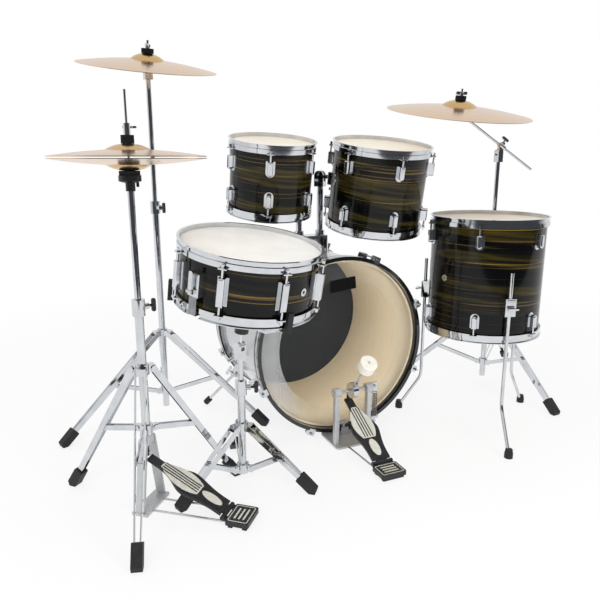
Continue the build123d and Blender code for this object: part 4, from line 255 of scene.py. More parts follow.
LACQUER_FLAKE = 0.7 * MM
LACQUER, tree, shader, where = finish(
    "silver_grey_lacquer", Roughness=0.25, Coat_Weight=0.8, Coat_Roughness=0.05)
flake = add(tree, "TexNoise", {"Vector": where, "Scale": 1 / LACQUER_FLAKE, "Detail": 2.0}).outputs[0]
tint = add(tree, "ValToRGB", {"Fac": flake}, stops=((0.4, "#B3B7BB"), (0.75, "#D3D6D9"))).outputs[0]
feed(tree, shader, Base_Color=tint)
print("shell finishes:", PLY.name, LACQUER.name)

# %% [markdown]
# The bass hoops are gloss black wood with a silver stripe let into the outside. The stripe is drawn by
# distance: a band across the hoop's width, and only on faces that lie as far out as its outer wall.

# %% Bass hoops
BASS_CENTRE = Vector((0, 225.35, 303))   # mm, the middle of the bass drum
STRIPE_NEAR, STRIPE_FAR = 202 * MM, 212 * MM   # from the middle of the drum, along its axis
HOOP_WALL, STRIPE_FLAKE = 291.5 * MM, 1.0 * MM
HOOP, tree, shader, where = finish("black_hoop_with_silver_stripe", Roughness=0.12, Coat_Weight=0.6)
arm = add(tree, "VectorMath", {0: where, 1: BASS_CENTRE * MM}, operation="SUBTRACT").outputs["Vector"]
depth = add(tree, "SeparateXYZ", {0: arm}).outputs["Y"]
aside = add(tree, "Math", {0: depth}, operation="ABSOLUTE").outputs[0]
flat = add(tree, "VectorMath", {0: arm, 1: (1, 0, 1)}, operation="MULTIPLY").outputs["Vector"]
out = add(tree, "VectorMath", {0: flat}, operation="LENGTH").outputs["Value"]
stripe = add(tree, "Math", {0: aside, 1: STRIPE_NEAR}, operation="GREATER_THAN").outputs[0]
for value, limit, test in ((aside, STRIPE_FAR, "LESS_THAN"), (out, HOOP_WALL, "GREATER_THAN")):
    inside = add(tree, "Math", {0: value, 1: limit}, operation=test).outputs[0]
    stripe = add(tree, "Math", {0: stripe, 1: inside}, operation="MULTIPLY").outputs[0]
flake = add(tree, "TexNoise", {"Vector": where, "Scale": 1 / STRIPE_FLAKE, "Detail": 3.0}).outputs[0]
silver = add(tree, "ValToRGB", {"Fac": flake}, stops=((0.35, "#A9ACAF"), (0.7, "#D6D8DA"))).outputs[0]
tint = add(tree, "Mix", {0: stripe, 6: colour("#0A0A0C"), 7: silver}, data_type="RGBA").outputs[2]
feed(tree, shader, Base_Color=tint)
print("hoops:", HOOP.name)

# %% [markdown]
# ## Heads
# Drum heads are polyester film. The snare's is coated matt white, the toms' are smooth and cream over the
# shell, the bass drum's front is dark grey, and its batter head is clear, so that the bare ply shows
# through it. The clear one is a thin film that is mostly see-through, which Alpha gives. What is stuck on
# it is film too: a plain black patch and a translucent ring.

# %% Heads
TONE_DRIFT = 60 * MM   # size of the slow drifts of tone
GLOSSIER, DULLER = 0.8, 1.2   # times the roughness


def film(name, tone, dim, rough, grain, height, **sockets):
    """Stretched film with slow drifts of tone and relief of that grain and height in metres."""
    made, tree, shader, where = finish(name, **sockets)
    cloud = add(tree, "TexNoise", {"Vector": where, "Scale": 1 / TONE_DRIFT, "Detail": 4.0}).outputs[0]
    tint = add(tree, "ValToRGB", {"Fac": cloud}, stops=((0.35, dim), (0.65, tone))).outputs[0]
    gloss = add(tree, "MapRange", {
        "Value": cloud, "To Min": rough * GLOSSIER, "To Max": rough * DULLER}).outputs[0]
    fine = add(tree, "TexNoise", {"Vector": where, "Scale": 1 / grain, "Detail": 3.0}).outputs[0]
    relief = add(tree, "Bump", {"Height": fine, "Strength": 0.3, "Distance": height}).outputs[0]
    feed(tree, shader, Base_Color=tint, Roughness=gloss, Normal=relief)
    return made


# Each has its two tones, then its roughness, grain and relief.
COATED = film("coated_white_film", "#F1EFEA", "#EAE8E2", 0.65, 0.6 * MM, 0.05 * MM)
CREAM = film("smooth_cream_film", "#F1E9DA", "#EBE2D0", 0.45, 20 * MM, 0.1 * MM, Specular_IOR_Level=0.3)
DARK = film("dark_front_film", "#25282C", "#1F2226", 0.45, 15 * MM, 0.1 * MM, Specular_IOR_Level=0.2)
CLEAR = film("clear_batter_film", "#6E7072", "#66686A", 0.08, 25 * MM, 0.1 * MM,
             Alpha=0.04, Specular_IOR_Level=0.2)
PATCH = film("plain_black_film", "#08080A", "#060608", 0.5, 10 * MM, 0.05 * MM, Specular_IOR_Level=0.15)
MUFFLE = film("translucent_muffling_film", "#D2D3D4", "#C9CBCC", 0.3, 12 * MM, 0.2 * MM)
print("films:", ", ".join(one.name for one in (COATED, CREAM, DARK, CLEAR, PATCH, MUFFLE)))

# %% [markdown]
# The muffling film is milky on the left, across the drum, and clears towards the other side.

# %% Muffling film
MILKY, CLEARED = 0.4, 0.03
MILKY_TO, CLEARED_FROM = -230 * MM, -130 * MM   # across the drum
tree, shader = MUFFLE.node_tree, MUFFLE.node_tree.nodes["Principled BSDF"]
across = add(tree, "SeparateXYZ", {0: add(tree, "TexCoord").outputs["Object"]}).outputs["X"]
milk = add(tree, "MapRange", {"Value": across, "From Min": MILKY_TO, "From Max": CLEARED_FROM,
                              "To Min": MILKY, "To Max": CLEARED}).outputs[0]
feed(tree, shader, Alpha=milk)
print("muffling film from", MILKY, "to", CLEARED)

# %% [markdown]
# ## Cymbals
# Cast bronze, turned on a lathe: the tool leaves fine rings about the axis, and bands of slightly different
# tone. The bell is left more golden. The distance from the axis drives all three; the rings are drawn 2 mm
# apart, coarser than the real ones, so that they show.

# %% Bronze
TONE_BAND, TOOL_RING, BELL_EDGE, RING_DEPTH = 9 * MM, 2.0 * MM, 6 * MM, 0.1 * MM
BELL_GOLD = "#D3B079"
BOW_TONES = ((0.25, "#D3B08F"), (0.75, "#EBD2B6"), (0.5, "#DFC0A0"))


def lathed_bronze(name, centre, axis, bell):
    """Bronze turned about an axis through a centre, with a bell of that radius in metres."""
    made, tree, shader, where = finish(name, Metallic=1.0)
    arm = add(tree, "VectorMath", {0: where, 1: centre}, operation="SUBTRACT").outputs["Vector"]
    crossed = add(tree, "VectorMath", {0: arm, 1: axis}, operation="CROSS_PRODUCT").outputs["Vector"]
    out = add(tree, "VectorMath", {0: crossed}, operation="LENGTH").outputs["Value"]
    line = add(tree, "CombineXYZ", {"X": out}).outputs[0]
    bands = add(tree, "TexNoise", {
        "Vector": line, "Scale": 1 / TONE_BAND, "Detail": 6.0, "Roughness": 0.7}).outputs[0]
    rings = add(tree, "TexNoise", {"Vector": line, "Scale": 1 / TOOL_RING, "Detail": 2.0}).outputs[0]
    bow = add(tree, "ValToRGB", {"Fac": bands}, stops=BOW_TONES).outputs[0]
    rim = add(tree, "MapRange", {"Value": out, "From Min": bell, "From Max": bell + BELL_EDGE}).outputs[0]
    tint = add(tree, "Mix", {0: rim, 6: colour(BELL_GOLD), 7: bow}, data_type="RGBA").outputs[2]
    gloss = add(tree, "MapRange", {"Value": bands, "To Min": 0.15, "To Max": 0.28}).outputs[0]
    relief = add(tree, "Bump", {"Height": rings, "Strength": 0.25, "Distance": RING_DEPTH}).outputs[0]
    feed(tree, shader, Base_Color=tint, Roughness=gloss, Normal=relief)
    return made


HAT_AT, HAT_BELL = (-0.656, -0.16, 0.893), 50 * MM
CRASH_AT, CRASH_AXIS, CRASH_BELL = (-0.497, 0.411, 1.17), leaning(12, -84), 50 * MM
RIDE_AT, RIDE_AXIS, RIDE_BELL = (0.549727, 0.19, 1.051345), leaning(11, -94), 60 * MM
HAT_BRONZE = lathed_bronze("lathed_bronze_hi_hats", HAT_AT, UPRIGHT, HAT_BELL)
CRASH_BRONZE = lathed_bronze("lathed_bronze_crash", CRASH_AT, CRASH_AXIS, CRASH_BELL)
RIDE_BRONZE = lathed_bronze("lathed_bronze_ride", RIDE_AT, RIDE_AXIS, RIDE_BELL)
print("bronzes:", HAT_BRONZE.name, CRASH_BRONZE.name, RIDE_BRONZE.name)

# %% [markdown]
# ## Dressing the CAD nodes
# One node can hold pieces of several materials, such as a tube with its plastic wing bolt. The node's mesh
# is a heap of triangles, so the separate solids are put together again from the corners that they share,
# and their boxes are measured.

# %% Solids in a node
CORNER_GRID = 1000   # corners that agree to a thousandth of a millimetre are the same corner


def corners_of(mesh):
    """Corners of each triangle, in millimetres, as an array of faces by 3 by 3."""
    points = np.empty(len(mesh.vertices) * 3)
    mesh.vertices.foreach_get("co", points)
    loops = np.empty(len(mesh.loops), dtype=np.int64)
    mesh.loops.foreach_get("vertex_index", loops)
    return points.reshape(-1, 3)[loops].reshape(-1, 3, 3) / MM


def boxes_of(corners):
    """Lowest and highest corner of the solid that each triangle belongs to."""
    rounded = np.round(corners.reshape(-1, 3) * CORNER_GRID).astype(np.int64)
    _, label = np.unique(rounded, axis=0, return_inverse=True)
    label = label.reshape(-1, 3)
    group = np.arange(label.max() + 1)
    while True:   # each corner takes the least number among its triangles until nothing changes
        least = group[label].min(axis=1)
        fresh = group.copy()
        for side in range(3):
            np.minimum.at(fresh, label[:, side], least)
        fresh = fresh[fresh]
        if (fresh == group).all():
            break
        group = fresh
    owner = group[label[:, 0]]
    low, high = np.empty((len(owner), 3)), np.empty((len(owner), 3))
    for number in np.unique(owner):
        mine = owner == number
        low[mine], high[mine] = corners[mine].min(axis=(0, 1)), corners[mine].max(axis=(0, 1))
    return low, high


def diagonal(low, high):
    """Length of each box from corner to corner."""
    return np.linalg.norm(high - low, axis=1)


holder_boxes = np.hstack(boxes_of(corners_of(nodes["tom_holder"].data)))
print("solids in the tom holder:", len(np.unique(holder_boxes, axis=0)))

# %% [markdown]
# `dress` then lets a rule choose a material for each triangle, from its own corners or from the box of its
# solid. The rules for round things ask how far from an axis a triangle lies.

# %% Dressing tools


def dress(node, *materials, face=None, solid=None):
    """Puts materials on a CAD node; face(corners) or solid(low, high) gives the number for each triangle."""
    mesh = nodes[node].data
    mesh.materials.clear()
    for one in materials:
        mesh.materials.append(one)
    if face or solid:
        corners = corners_of(mesh)
        number = face(corners) if face else solid(*boxes_of(corners))
        mesh.polygons.foreach_set("material_index", np.asarray(number).astype(np.int32))
    mesh.polygons.foreach_set("use_smooth", np.ones(len(mesh.polygons), dtype=bool))


def from_axis(points, centre, axis):
    """Distance of points from an axis through a centre."""
    arm = points - np.array(centre)
    along = arm @ np.array(axis)
    return np.linalg.norm(arm - along[..., None] * np.array(axis), axis=-1)


def beyond(centre, axis, radius):
    """Rule that gives 1 to the triangles farther out than a radius."""
    return lambda corners: from_axis(corners.mean(axis=1), centre, axis) > radius


def within(centre, axis, radius):
    """Rule that gives 1 to the triangles nearer in than a radius, such as a shell's inner wall and edges."""
    return lambda corners: from_axis(corners.mean(axis=1), centre, axis) < radius


print("nodes to dress:", len(nodes))

# %% [markdown]
# The shells get the wrap outside and ply inside. A head and the rolled hoop at its rim are one node, so the
# rim's triangles are picked by their distance from the drum's axis. The metal fittings of the drums are
# chromed.

# %% Drums
BASS_AXIS, BASS_RADIUS = Vector((0, 1, 0)), 279.4
WALL_SKIN, BASS_RIM, DRUM_RIM = 0.5, 1.1, 1.2   # mm in to where ply begins, mm out to where a rim begins
dress("bass_shell", LACQUER, PLY, face=within(BASS_CENTRE, BASS_AXIS, BASS_RADIUS - WALL_SKIN))
dress("bass_hoops", HOOP)
dress("bass_batter_head", CLEAR, ROLLED, face=beyond(BASS_CENTRE, BASS_AXIS, BASS_RADIUS + BASS_RIM))
dress("bass_front_head", DARK, ROLLED, face=beyond(BASS_CENTRE, BASS_AXIS, BASS_RADIUS + BASS_RIM))
snare_low, snare_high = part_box("snare_heads")
SNARE_CENTRE = (snare_low + snare_high) / 2 / MM
RIGHT_TOM_TOP, RIGHT_TOM_RADIUS = (171, 81, 929), 152.4
drums = {   # a point on the axis, the axis, the shell's radius, its wrap and its head
    "left_tom": ((-184, 135, 938), RACK_AXIS, 127.0, RACK_WRAP, CREAM),
    "right_tom": (RIGHT_TOM_TOP, RACK_AXIS, RIGHT_TOM_RADIUS, RACK_WRAP, CREAM),
    "floor_tom": ((474, -92, 703), UPRIGHT, 177.8, FLOOR_WRAP, CREAM),
    "snare": (SNARE_CENTRE, SNARE_AXIS, 177.8, SNARE_WRAP, COATED),
}
for name, (centre, axis, radius, wrap, skin) in drums.items():
    dress(f"{name}_shell", wrap, PLY, face=within(centre, axis, radius - WALL_SKIN))
    dress(f"{name}_heads", skin, ROLLED, face=beyond(centre, axis, radius + DRUM_RIM))
    dress(f"{name}_hoops", CHROME)
for node in ("bass_hardware", "left_tom_tension_hardware", "right_tom_tension_hardware", "floor_tom_hardware",
             "snare_tension_hardware", "snare_strainer", "throw_off_lever", "snare_stand_upper_tube",
             "crash_upper_tube", "ride_upper_tube", "ride_boom_clamp", "ride_boom_arm"):
    dress(node, CHROME)
dress("snare_wires", STEEL)
dress("kick_spring", STEEL)
print("dressed", len(drums) + 1, "drums")

# %% [markdown]
# Rubber boots and feet lie tight on the legs and share corners with them, so they are told apart by height:
# a boot's triangles stay near the floor, and a leg's run up to its collar. Wing bolts on the height clamps
# are plastic, and smaller than any other solid there.

# %% Stands and feet
BOOT_TOP, COLLAR_REACH, WING_BOLT = 58, 80, 45   # mm: height, distance from the tube, box of a wing bolt
TRIPODS = {"hi_hat_tripod": (-656, -160), "crash_tripod": (-497, 411), "ride_tripod": (748, 190),
           "snare_stand_tripod": (-396, -148)}
LEG_FOOT, SPUR_FOOT = 29, 33   # mm above the floor where the rubber ends
FEET = {"floor_tom_leg_1": LEG_FOOT, "floor_tom_leg_2": LEG_FOOT, "floor_tom_leg_3": LEG_FOOT,
        "spur_left": SPUR_FOOT, "spur_right": SPUR_FOOT}


def wing_bolts(low, high):
    """1 for the solids as small as a wing bolt."""
    return diagonal(low, high) < WING_BOLT


for node, axis_at in TRIPODS.items():
    dress(node, CHROME, RUBBER, face=lambda corners, at=axis_at: (
        (corners[:, :, 2].max(axis=1) < BOOT_TOP)
        & (np.linalg.norm(corners[:, :, :2].mean(axis=1) - np.array(at), axis=1) > COLLAR_REACH)))
for node, top in FEET.items():
    dress(node, CHROME, RUBBER, face=lambda corners, top=top: corners[:, :, 2].max(axis=1) < top)
for node in ("crash_base_tube", "ride_base_tube", "snare_stand_tube"):
    dress(node, CHROME, PLASTIC, solid=wing_bolts)
print("dressed", len(TRIPODS), "tripods and", len(FEET), "feet")

# %% [markdown]
# The snare basket's rubber tips hold the drum at the ends of its arms, farthest from the hub, and its
# tightening knob is black plastic. The tom holder is chromed, with black wing bolts, and the arms that tilt
# on it are powder-coated black.

# %% Basket and tom holder
BASKET_TIP, BASKET_KNOB, TILT_ARM = 163, 68, 85   # mm: from the axis to a tip, box of the knob, box of an arm


def basket_rule(corners):
    """0 chromed arms and hub, 1 rubber tips, 2 plastic knob."""
    reach = from_axis(corners, SNARE_CENTRE, SNARE_AXIS).min(axis=1)
    knob = diagonal(*boxes_of(corners)) < BASKET_KNOB
    return np.where(knob, 2, np.where(reach > BASKET_TIP, 1, 0))


dress("snare_basket", CHROME, RUBBER, PLASTIC, face=basket_rule)
dress("tom_holder", CHROME, PLASTIC, solid=wing_bolts)
for node in ("left_tom_arm", "right_tom_arm"):
    dress(node, CHROME, POWDER, solid=lambda low, high: diagonal(low, high) > TILT_ARM)
print("dressed the basket and the tom holder")

# %% [markdown]
# Each pedal has a satin cast frame, a black powder-coated footboard and heel plate, rubber under the heel
# and bright rods between. The beater is a block of white felt on a chromed shaft, and the hi-hat's chain is
# black below its bright rod.

# %% Pedals
TUBE_FROM, TUBE_TALL = 500, 300                   # mm, height of the clamp on the tube, length of the tube
HEEL_LOW, HEEL_HIGH, HEEL_LONG = 8.5, 30, 100     # mm, the heel plate between two heights, and its box
FLOOR_NEAR, RUBBER_TOP = 1, 9                     # mm, the rubber under the heel
ROD_LOW, ROD_HIGH, ROD_LONG = 0.2, 20, 150        # mm, the rods along the floor
SCREW_LOW, SCREW_LONG = 5, 52                     # mm, clamps and screws on the frame
BEATER_WIDE, BEATER_SPARE, CHAIN_TOP = 55, 12, 175   # mm, width of the felt, its slack, height of the chain


def pedal_rule(low, high):
    """0 casting, 1 heel plate, 2 heel rubber, 3 bright rods, tube and screws, 4 plastic wing bolt."""
    box, foot, top = diagonal(low, high), low[:, 2], high[:, 2]
    on_tube = foot > TUBE_FROM
    tube = top - foot > TUBE_TALL
    heel_plate = (foot > HEEL_LOW) & (top < HEEL_HIGH) & (box > HEEL_LONG)
    heel_rubber = (foot < FLOOR_NEAR) & (top < RUBBER_TOP) & (box < HEEL_LONG)
    rods = (foot > ROD_LOW) & (top < ROD_HIGH) & (box > ROD_LONG)
    screws = (foot > SCREW_LOW) & (box < SCREW_LONG)
    return np.select([on_tube & (box < WING_BOLT), on_tube, tube, heel_plate, heel_rubber, rods, screws],
                     [4, 3, 3, 1, 2, 3, 3], 0)


for node in ("kick_pedal_frame", "hi_hat_frame"):
    dress(node, CAST, POWDER, RUBBER, CHROME, PLASTIC, solid=pedal_rule)
for node in ("kick_footboard", "hi_hat_footboard"):
    dress(node, POWDER)
dress("kick_beater", CHROME, WHITE_FELT,
      solid=lambda low, high: np.abs((high - low)[:, 0] - BEATER_WIDE) < BEATER_SPARE)
dress("hi_hat_pull_rod", CHROME, POWDER, solid=lambda low, high: high[:, 2] < CHAIN_TOP)
print("dressed the pedals")

# %% [markdown]
# Felts are soft black wool, above and below each cymbal. The hi-hat's seat cup and the tilters' sleeves are
# black plastic. The nut under the clutch is as dark as its felts and shares their finish.

# %% Cymbals and what holds them
SEAT_SCREW, SEAT_FELT = 12, 12               # mm, width of the screw and height of the felt in the seat
CLUTCH_FELT_MIN, CLUTCH_FELT_MAX = 28, 31    # mm, width
TILTER_FELT, FELT_SPARE = 59.5, 2            # mm, box of a felt as it leans, and its slack
TILTER_SLEEVE = 45                           # mm, longer than the box of the sleeve


def seat_rule(low, high):
    """0 chromed tube and screw, 1 plastic cup, 2 felt."""
    wide, tall = (high - low)[:, 0], (high - low)[:, 2]
    return np.select([tall > TUBE_TALL, wide < SEAT_SCREW, tall < SEAT_FELT], [0, 0, 2], 1)


def clutch_rule(low, high):
    """0 chromed clutch, 1 felts and nut."""
    wide = (high - low)[:, 0]
    return (wide > CLUTCH_FELT_MIN) & (wide < CLUTCH_FELT_MAX)


def tilter_rule(low, high):
    """0 chromed tilter, 1 felts, 2 plastic sleeve."""
    felts = np.abs(diagonal(low, high) - TILTER_FELT) < FELT_SPARE
    return np.select([felts, diagonal(low, high) < TILTER_SLEEVE], [1, 2], 0)


dress("hi_hat_upper_tube", CHROME, PLASTIC, BLACK_FELT, solid=seat_rule)
dress("hi_hat_clutch", CHROME, BLACK_FELT, solid=clutch_rule)
for node in ("crash_tilter", "ride_tilter"):
    dress(node, CHROME, BLACK_FELT, PLASTIC, solid=tilter_rule)
dress("hi_hat_top_cymbal", HAT_BRONZE)
dress("hi_hat_bottom_cymbal", HAT_BRONZE)
dress("crash_cymbal", CRASH_BRONZE)
dress("ride_cymbal", RIDE_BRONZE)
bare = [name for name, made in nodes.items() if not made.data.materials]
print("nodes without a finish:", bare)

# %% [markdown]
# ## Thin trim
# Each piece of trim starts as a flat primitive at the origin, either a plate or an oval. Everything else is
# deselected first, because an operator acts on all that is selected.

# %% Flat pieces


def flat_plate(width, length, middle=0.0, rows=1):
    """Upright rectangle in millimetres about the origin, moved along y, cut into rows."""
    bpy.ops.object.select_all(action="DESELECT")
    bpy.ops.mesh.primitive_grid_add(
        x_subdivisions=1, y_subdivisions=rows, size=1, location=(0, middle * MM, 0))
    bpy.context.object.scale = (width * MM, length * MM, 1)
    bpy.ops.object.transform_apply(location=True, rotation=True, scale=True)
    return bpy.context.object


def flat_oval(width, length, middle=0.0, steps=48):
    """Filled oval in millimetres, moved along y."""
    bpy.ops.object.select_all(action="DESELECT")
    bpy.ops.mesh.primitive_circle_add(
        vertices=steps, radius=0.5, fill_type="NGON", location=(0, middle * MM, 0))
    bpy.context.object.scale = (width * MM, length * MM, 1)
    bpy.ops.object.transform_apply(location=True, rotation=True, scale=True)
    return bpy.context.object


print("flat pieces: plate and oval")

# %% [markdown]
# The flat piece is then shaped in edit mode: its corners are rounded, or its middle is cut out. What
# repeats is modelled once and copied.

# %% Shaping tools


def shape(operator, **how):
    """Runs one edit-mode operator on the whole of the active piece."""
    bpy.ops.object.mode_set(mode="EDIT")
    bpy.ops.mesh.select_all(action="SELECT")
    operator(**how)
    bpy.ops.object.mode_set(mode="OBJECT")


def round_corners(radius):
    """Rounds every corner of the active flat piece."""
    shape(bpy.ops.mesh.bevel, offset=radius * MM, segments=6, affect="VERTICES")


def cut_middle(border):
    """Leaves only a border of that width of the active flat piece."""
    bpy.ops.object.mode_set(mode="EDIT")
    bpy.ops.mesh.select_all(action="SELECT")
    bpy.ops.mesh.inset(thickness=border * MM)
    bpy.ops.mesh.delete(type="FACE")
    bpy.ops.object.mode_set(mode="OBJECT")


def copies(places):
    """Copies of the active piece, each with its own mesh, moved by millimetres and joined into one piece."""
    first = bpy.context.object
    for x, y in places[1:]:
        twin = first.copy()
        twin.data = first.data.copy()
        bpy.context.scene.collection.objects.link(twin)
        twin.location = (x * MM, y * MM, 0)
        twin.select_set(True)
    first.location = (places[0][0] * MM, places[0][1] * MM, 0)
    bpy.ops.object.join()
    bpy.ops.object.transform_apply(location=True, rotation=True, scale=True)


print("shaping: round corners, cut the middle, copy")

# %% [markdown]
# A Solidify modifier gives the piece its thickness, and it is laid on the surface that carries it. Applying
# its place leaves the object at the origin, where its finish reads the same coordinates as the CAD nodes
# do.

# %% Laying tools


def lay(name, thick, where, body, slot, *materials):
    """Gives the active flat piece its thickness, lays it on a surface and lets it ride on a body."""
    made = bpy.context.object
    wall = made.modifiers.new("wall", "SOLIDIFY")
    wall.thickness, wall.offset = thick * MM, 1.0
    bpy.ops.object.modifier_apply(modifier=wall.name)
    made.matrix_world = where
    bpy.ops.object.transform_apply(location=True, rotation=True, scale=True)
    made.name = made.data.name = name
    for one in materials:
        made.data.materials.append(one)
    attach(made, body)
    print("trim:", name, len(made.data.polygons), "faces")
    return made


def laid_on(origin, across, up, lift=0.0):
    """Place whose x runs across and z up from an origin in millimetres, lifted off it."""
    z = Vector(up).normalized()
    x = (Vector(across) - z * Vector(across).dot(z)).normalized()
    made = Matrix((x, z.cross(x), z)).transposed().to_4x4()
    made.translation = (Vector(origin) + z * lift) * MM
    return made


print("on the floor a piece lies at", laid_on((0, 0, 0), (1, 0, 0), UPRIGHT).translation[:])

# %% [markdown]
# A ring of translucent film is stuck round the edge of the bass batter head to muffle it, and a plain dark
# patch takes the wear near the top, a little askew.

# %% Trim on the bass head
BATTER_FACE = 21.35   # mm, the head's outer face along the drum's axis
RING_OUTSIDE, RING_WIDTH, RING_THICK = 548, 60, 0.3
PATCH_WIDTH, PATCH_HEIGHT, PATCH_ROUND, PATCH_THICK = 92, 40, 4, 0.25
PATCH_ASIDE, PATCH_UP, PATCH_LIFT, PATCH_TURN = 5, 200, 0.35, math.radians(6)
BATTER = laid_on((0, BATTER_FACE, BASS_CENTRE.z), (1, 0, 0), (0, -1, 0))
flat_oval(RING_OUTSIDE, RING_OUTSIDE, steps=128)
cut_middle(RING_WIDTH)
lay("muffling_ring", RING_THICK, BATTER, "kit", "clear film", MUFFLE)
flat_plate(PATCH_WIDTH, PATCH_HEIGHT)
round_corners(PATCH_ROUND)
patch_at = Matrix.Translation((PATCH_ASIDE * MM, PATCH_UP * MM, PATCH_LIFT * MM))
patch_at = BATTER @ patch_at @ Matrix.Rotation(PATCH_TURN, 4, "Z")
lay("blank_patch", PATCH_THICK, patch_at, "kit", "dark film", PATCH)

# %% [markdown]
# The right tom carries a plain oval badge: a bright rim round a sunk black field. Its flat back sits a
# little into the wrap, as the real one is pressed to the curve.

# %% Badge
BADGE_TURN, BADGE_DROP, BADGE_BITE = math.radians(171), 105, 0.6
BADGE_WIDE, BADGE_TALL, BADGE_RIM, BADGE_SINK, BADGE_THICK = 30, 40, 2.6, 0.5, 1.6
rack = laid_on(RIGHT_TOM_TOP, (1, 0, 0), RACK_AXIS)
out = rack.to_3x3() @ Vector((math.cos(BADGE_TURN), math.sin(BADGE_TURN), 0))
badge_at = Vector(RIGHT_TOM_TOP) + out * (RIGHT_TOM_RADIUS - BADGE_BITE) - RACK_AXIS * BADGE_DROP
flat_oval(BADGE_WIDE, BADGE_TALL)
shape(bpy.ops.mesh.inset, thickness=BADGE_RIM * MM, depth=-BADGE_SINK * MM)
badge = lay("plain_badge", BADGE_THICK, laid_on(badge_at, UPRIGHT.cross(out), out), "right tom", "chrome",
            CHROME, PLASTIC)
widest = max(badge.data.polygons, key=lambda one: (one.normal.dot(out) > 0.9, one.area))
widest.material_index = 1
print("badge's field:", round(widest.area / MM ** 2), "square millimetres")

# %% [markdown]
# The footboards have a pale grit tread in the shape of a leaf. The leaf is a strip of rows, and each row is
# scaled to the board's width there. Its half width follows an arch that starts a little way up, so that the
# heel end is blunt.

# %% Leaf of the tread
LEAF_LOW, LEAF_HIGH, LEAF_ROWS, LEAF_STRIP = 86, 205, 24, 20   # mm from the hinge, rows, mm before scaling
LEAF_TIP, LEAF_SWELL, ROW_SLACK = 4, 31, 0.5   # mm, half width at the tip, what the arch adds, pick of a row
ARCH_START, ARCH_SPAN, ARCH_LEAN, ARCH_FULL = 0.12, 0.86, 0.9, 0.8


def leaf_width(y):
    """Half width of the tread at a distance from the hinge."""
    share = (y - LEAF_LOW) / (LEAF_HIGH - LEAF_LOW)
    turn = math.pi * min(1, ARCH_START + ARCH_SPAN * share) ** ARCH_LEAN
    return LEAF_TIP + LEAF_SWELL * math.sin(turn) ** ARCH_FULL


def leaf_tread():
    """Flat leaf about the y axis, which becomes the active piece."""
    made = flat_plate(LEAF_STRIP, LEAF_HIGH - LEAF_LOW, (LEAF_LOW + LEAF_HIGH) / 2, LEAF_ROWS)
    bpy.ops.object.mode_set(mode="EDIT")
    work = bmesh.from_edit_mesh(made.data)
    for row in range(LEAF_ROWS + 1):
        y = LEAF_LOW + (LEAF_HIGH - LEAF_LOW) * row / LEAF_ROWS
        bpy.ops.mesh.select_all(action="DESELECT")
        for vert in work.verts:
            vert.select_set(abs(vert.co.y - y * MM) < ROW_SLACK * MM)
        work.select_flush(True)
        bmesh.update_edit_mesh(made.data)
        bpy.ops.transform.resize(
            value=(2 * leaf_width(y) / LEAF_STRIP, 1, 1), center_override=(0, y * MM, 0))
    bpy.ops.object.mode_set(mode="OBJECT")


print("leaf:", round(2 * max(leaf_width(y) for y in range(LEAF_LOW, LEAF_HIGH))), "mm wide")

# %% [markdown]
# Black ribs run along the tread, and a pale oval lies near the heel. The heel plates have a pale border and
# three bars. Both pedals have the same trim, so one function lays it at a hinge.

# %% Trim on the pedals
BOARD_SLOPE, BOARD_TOP, TREAD_THICK = math.radians(27.5), 7.05, 0.5
RIB_WIDE, RIB_LONG, RIB_ROUND, RIB_THICK = 3.2, 112, 1.4, 0.9
RIB_MIDDLE, RIB_ASIDE = 145, (-13.5, -4.5, 4.5, 13.5)
OVAL_WIDE, OVAL_LONG, OVAL_MIDDLE, OVAL_THICK = 28, 60, 50, 0.6
HEEL_BACK, HEEL_SINK = 40, 0.95
BORDER_WIDE, BORDER_LONG, BORDER_ROUND, BORDER, BORDER_THICK = 70, 52, 5, 2.2, 0.4
BAR_WIDE, BAR_LONG, BAR_ROUND, BAR_THICK, BAR_PLACES = 46, 4.6, 1.8, 0.6, (-12, 0, 12)


def pedal_trim(tag, hinge, across, body):
    """Tread, ribs and heel trim of a pedal whose hinge is at a point in millimetres."""
    across = Vector(across)
    forward = UPRIGHT.cross(across)
    up = UPRIGHT * math.cos(BOARD_SLOPE) - forward * math.sin(BOARD_SLOPE)
    board = laid_on(hinge, across, up, BOARD_TOP)
    raised = laid_on(hinge, across, up, BOARD_TOP + TREAD_THICK)
    leaf_tread()
    lay(f"{tag}_tread", TREAD_THICK, board, body, "cast alloy", TREAD)
    flat_plate(RIB_WIDE, RIB_LONG)
    round_corners(RIB_ROUND)
    copies([(x, RIB_MIDDLE) for x in RIB_ASIDE])
    lay(f"{tag}_tread_ribs", RIB_THICK, raised, body, "black footboard", POWDER)
    flat_oval(OVAL_WIDE, OVAL_LONG, OVAL_MIDDLE)
    lay(f"{tag}_tread_oval", OVAL_THICK, board, body, "cast alloy", TREAD)
    heel = laid_on(Vector(hinge) - forward * HEEL_BACK, across, UPRIGHT, -HEEL_SINK)
    flat_plate(BORDER_WIDE, BORDER_LONG)
    round_corners(BORDER_ROUND)
    cut_middle(BORDER)
    lay(f"{tag}_heel_border", BORDER_THICK, heel, "kit", "cast alloy", TREAD)
    flat_plate(BAR_WIDE, BAR_LONG)
    round_corners(BAR_ROUND)
    copies([(0, y) for y in BAR_PLACES])
    lay(f"{tag}_heel_bars", BAR_THICK, heel, "kit", "cast alloy", TREAD)


KICK_HINGE, KICK_ACROSS = (0, -249.418, 22), (1, 0, 0)
HAT_HINGE, HAT_ACROSS = (-490.479, -303.885, 22), (0.656059, 0.75471, 0)
pedal_trim("kick", KICK_HINGE, KICK_ACROSS, "kick footboard")
pedal_trim("hi_hat", HAT_HINGE, HAT_ACROSS, "hi-hat footboard")

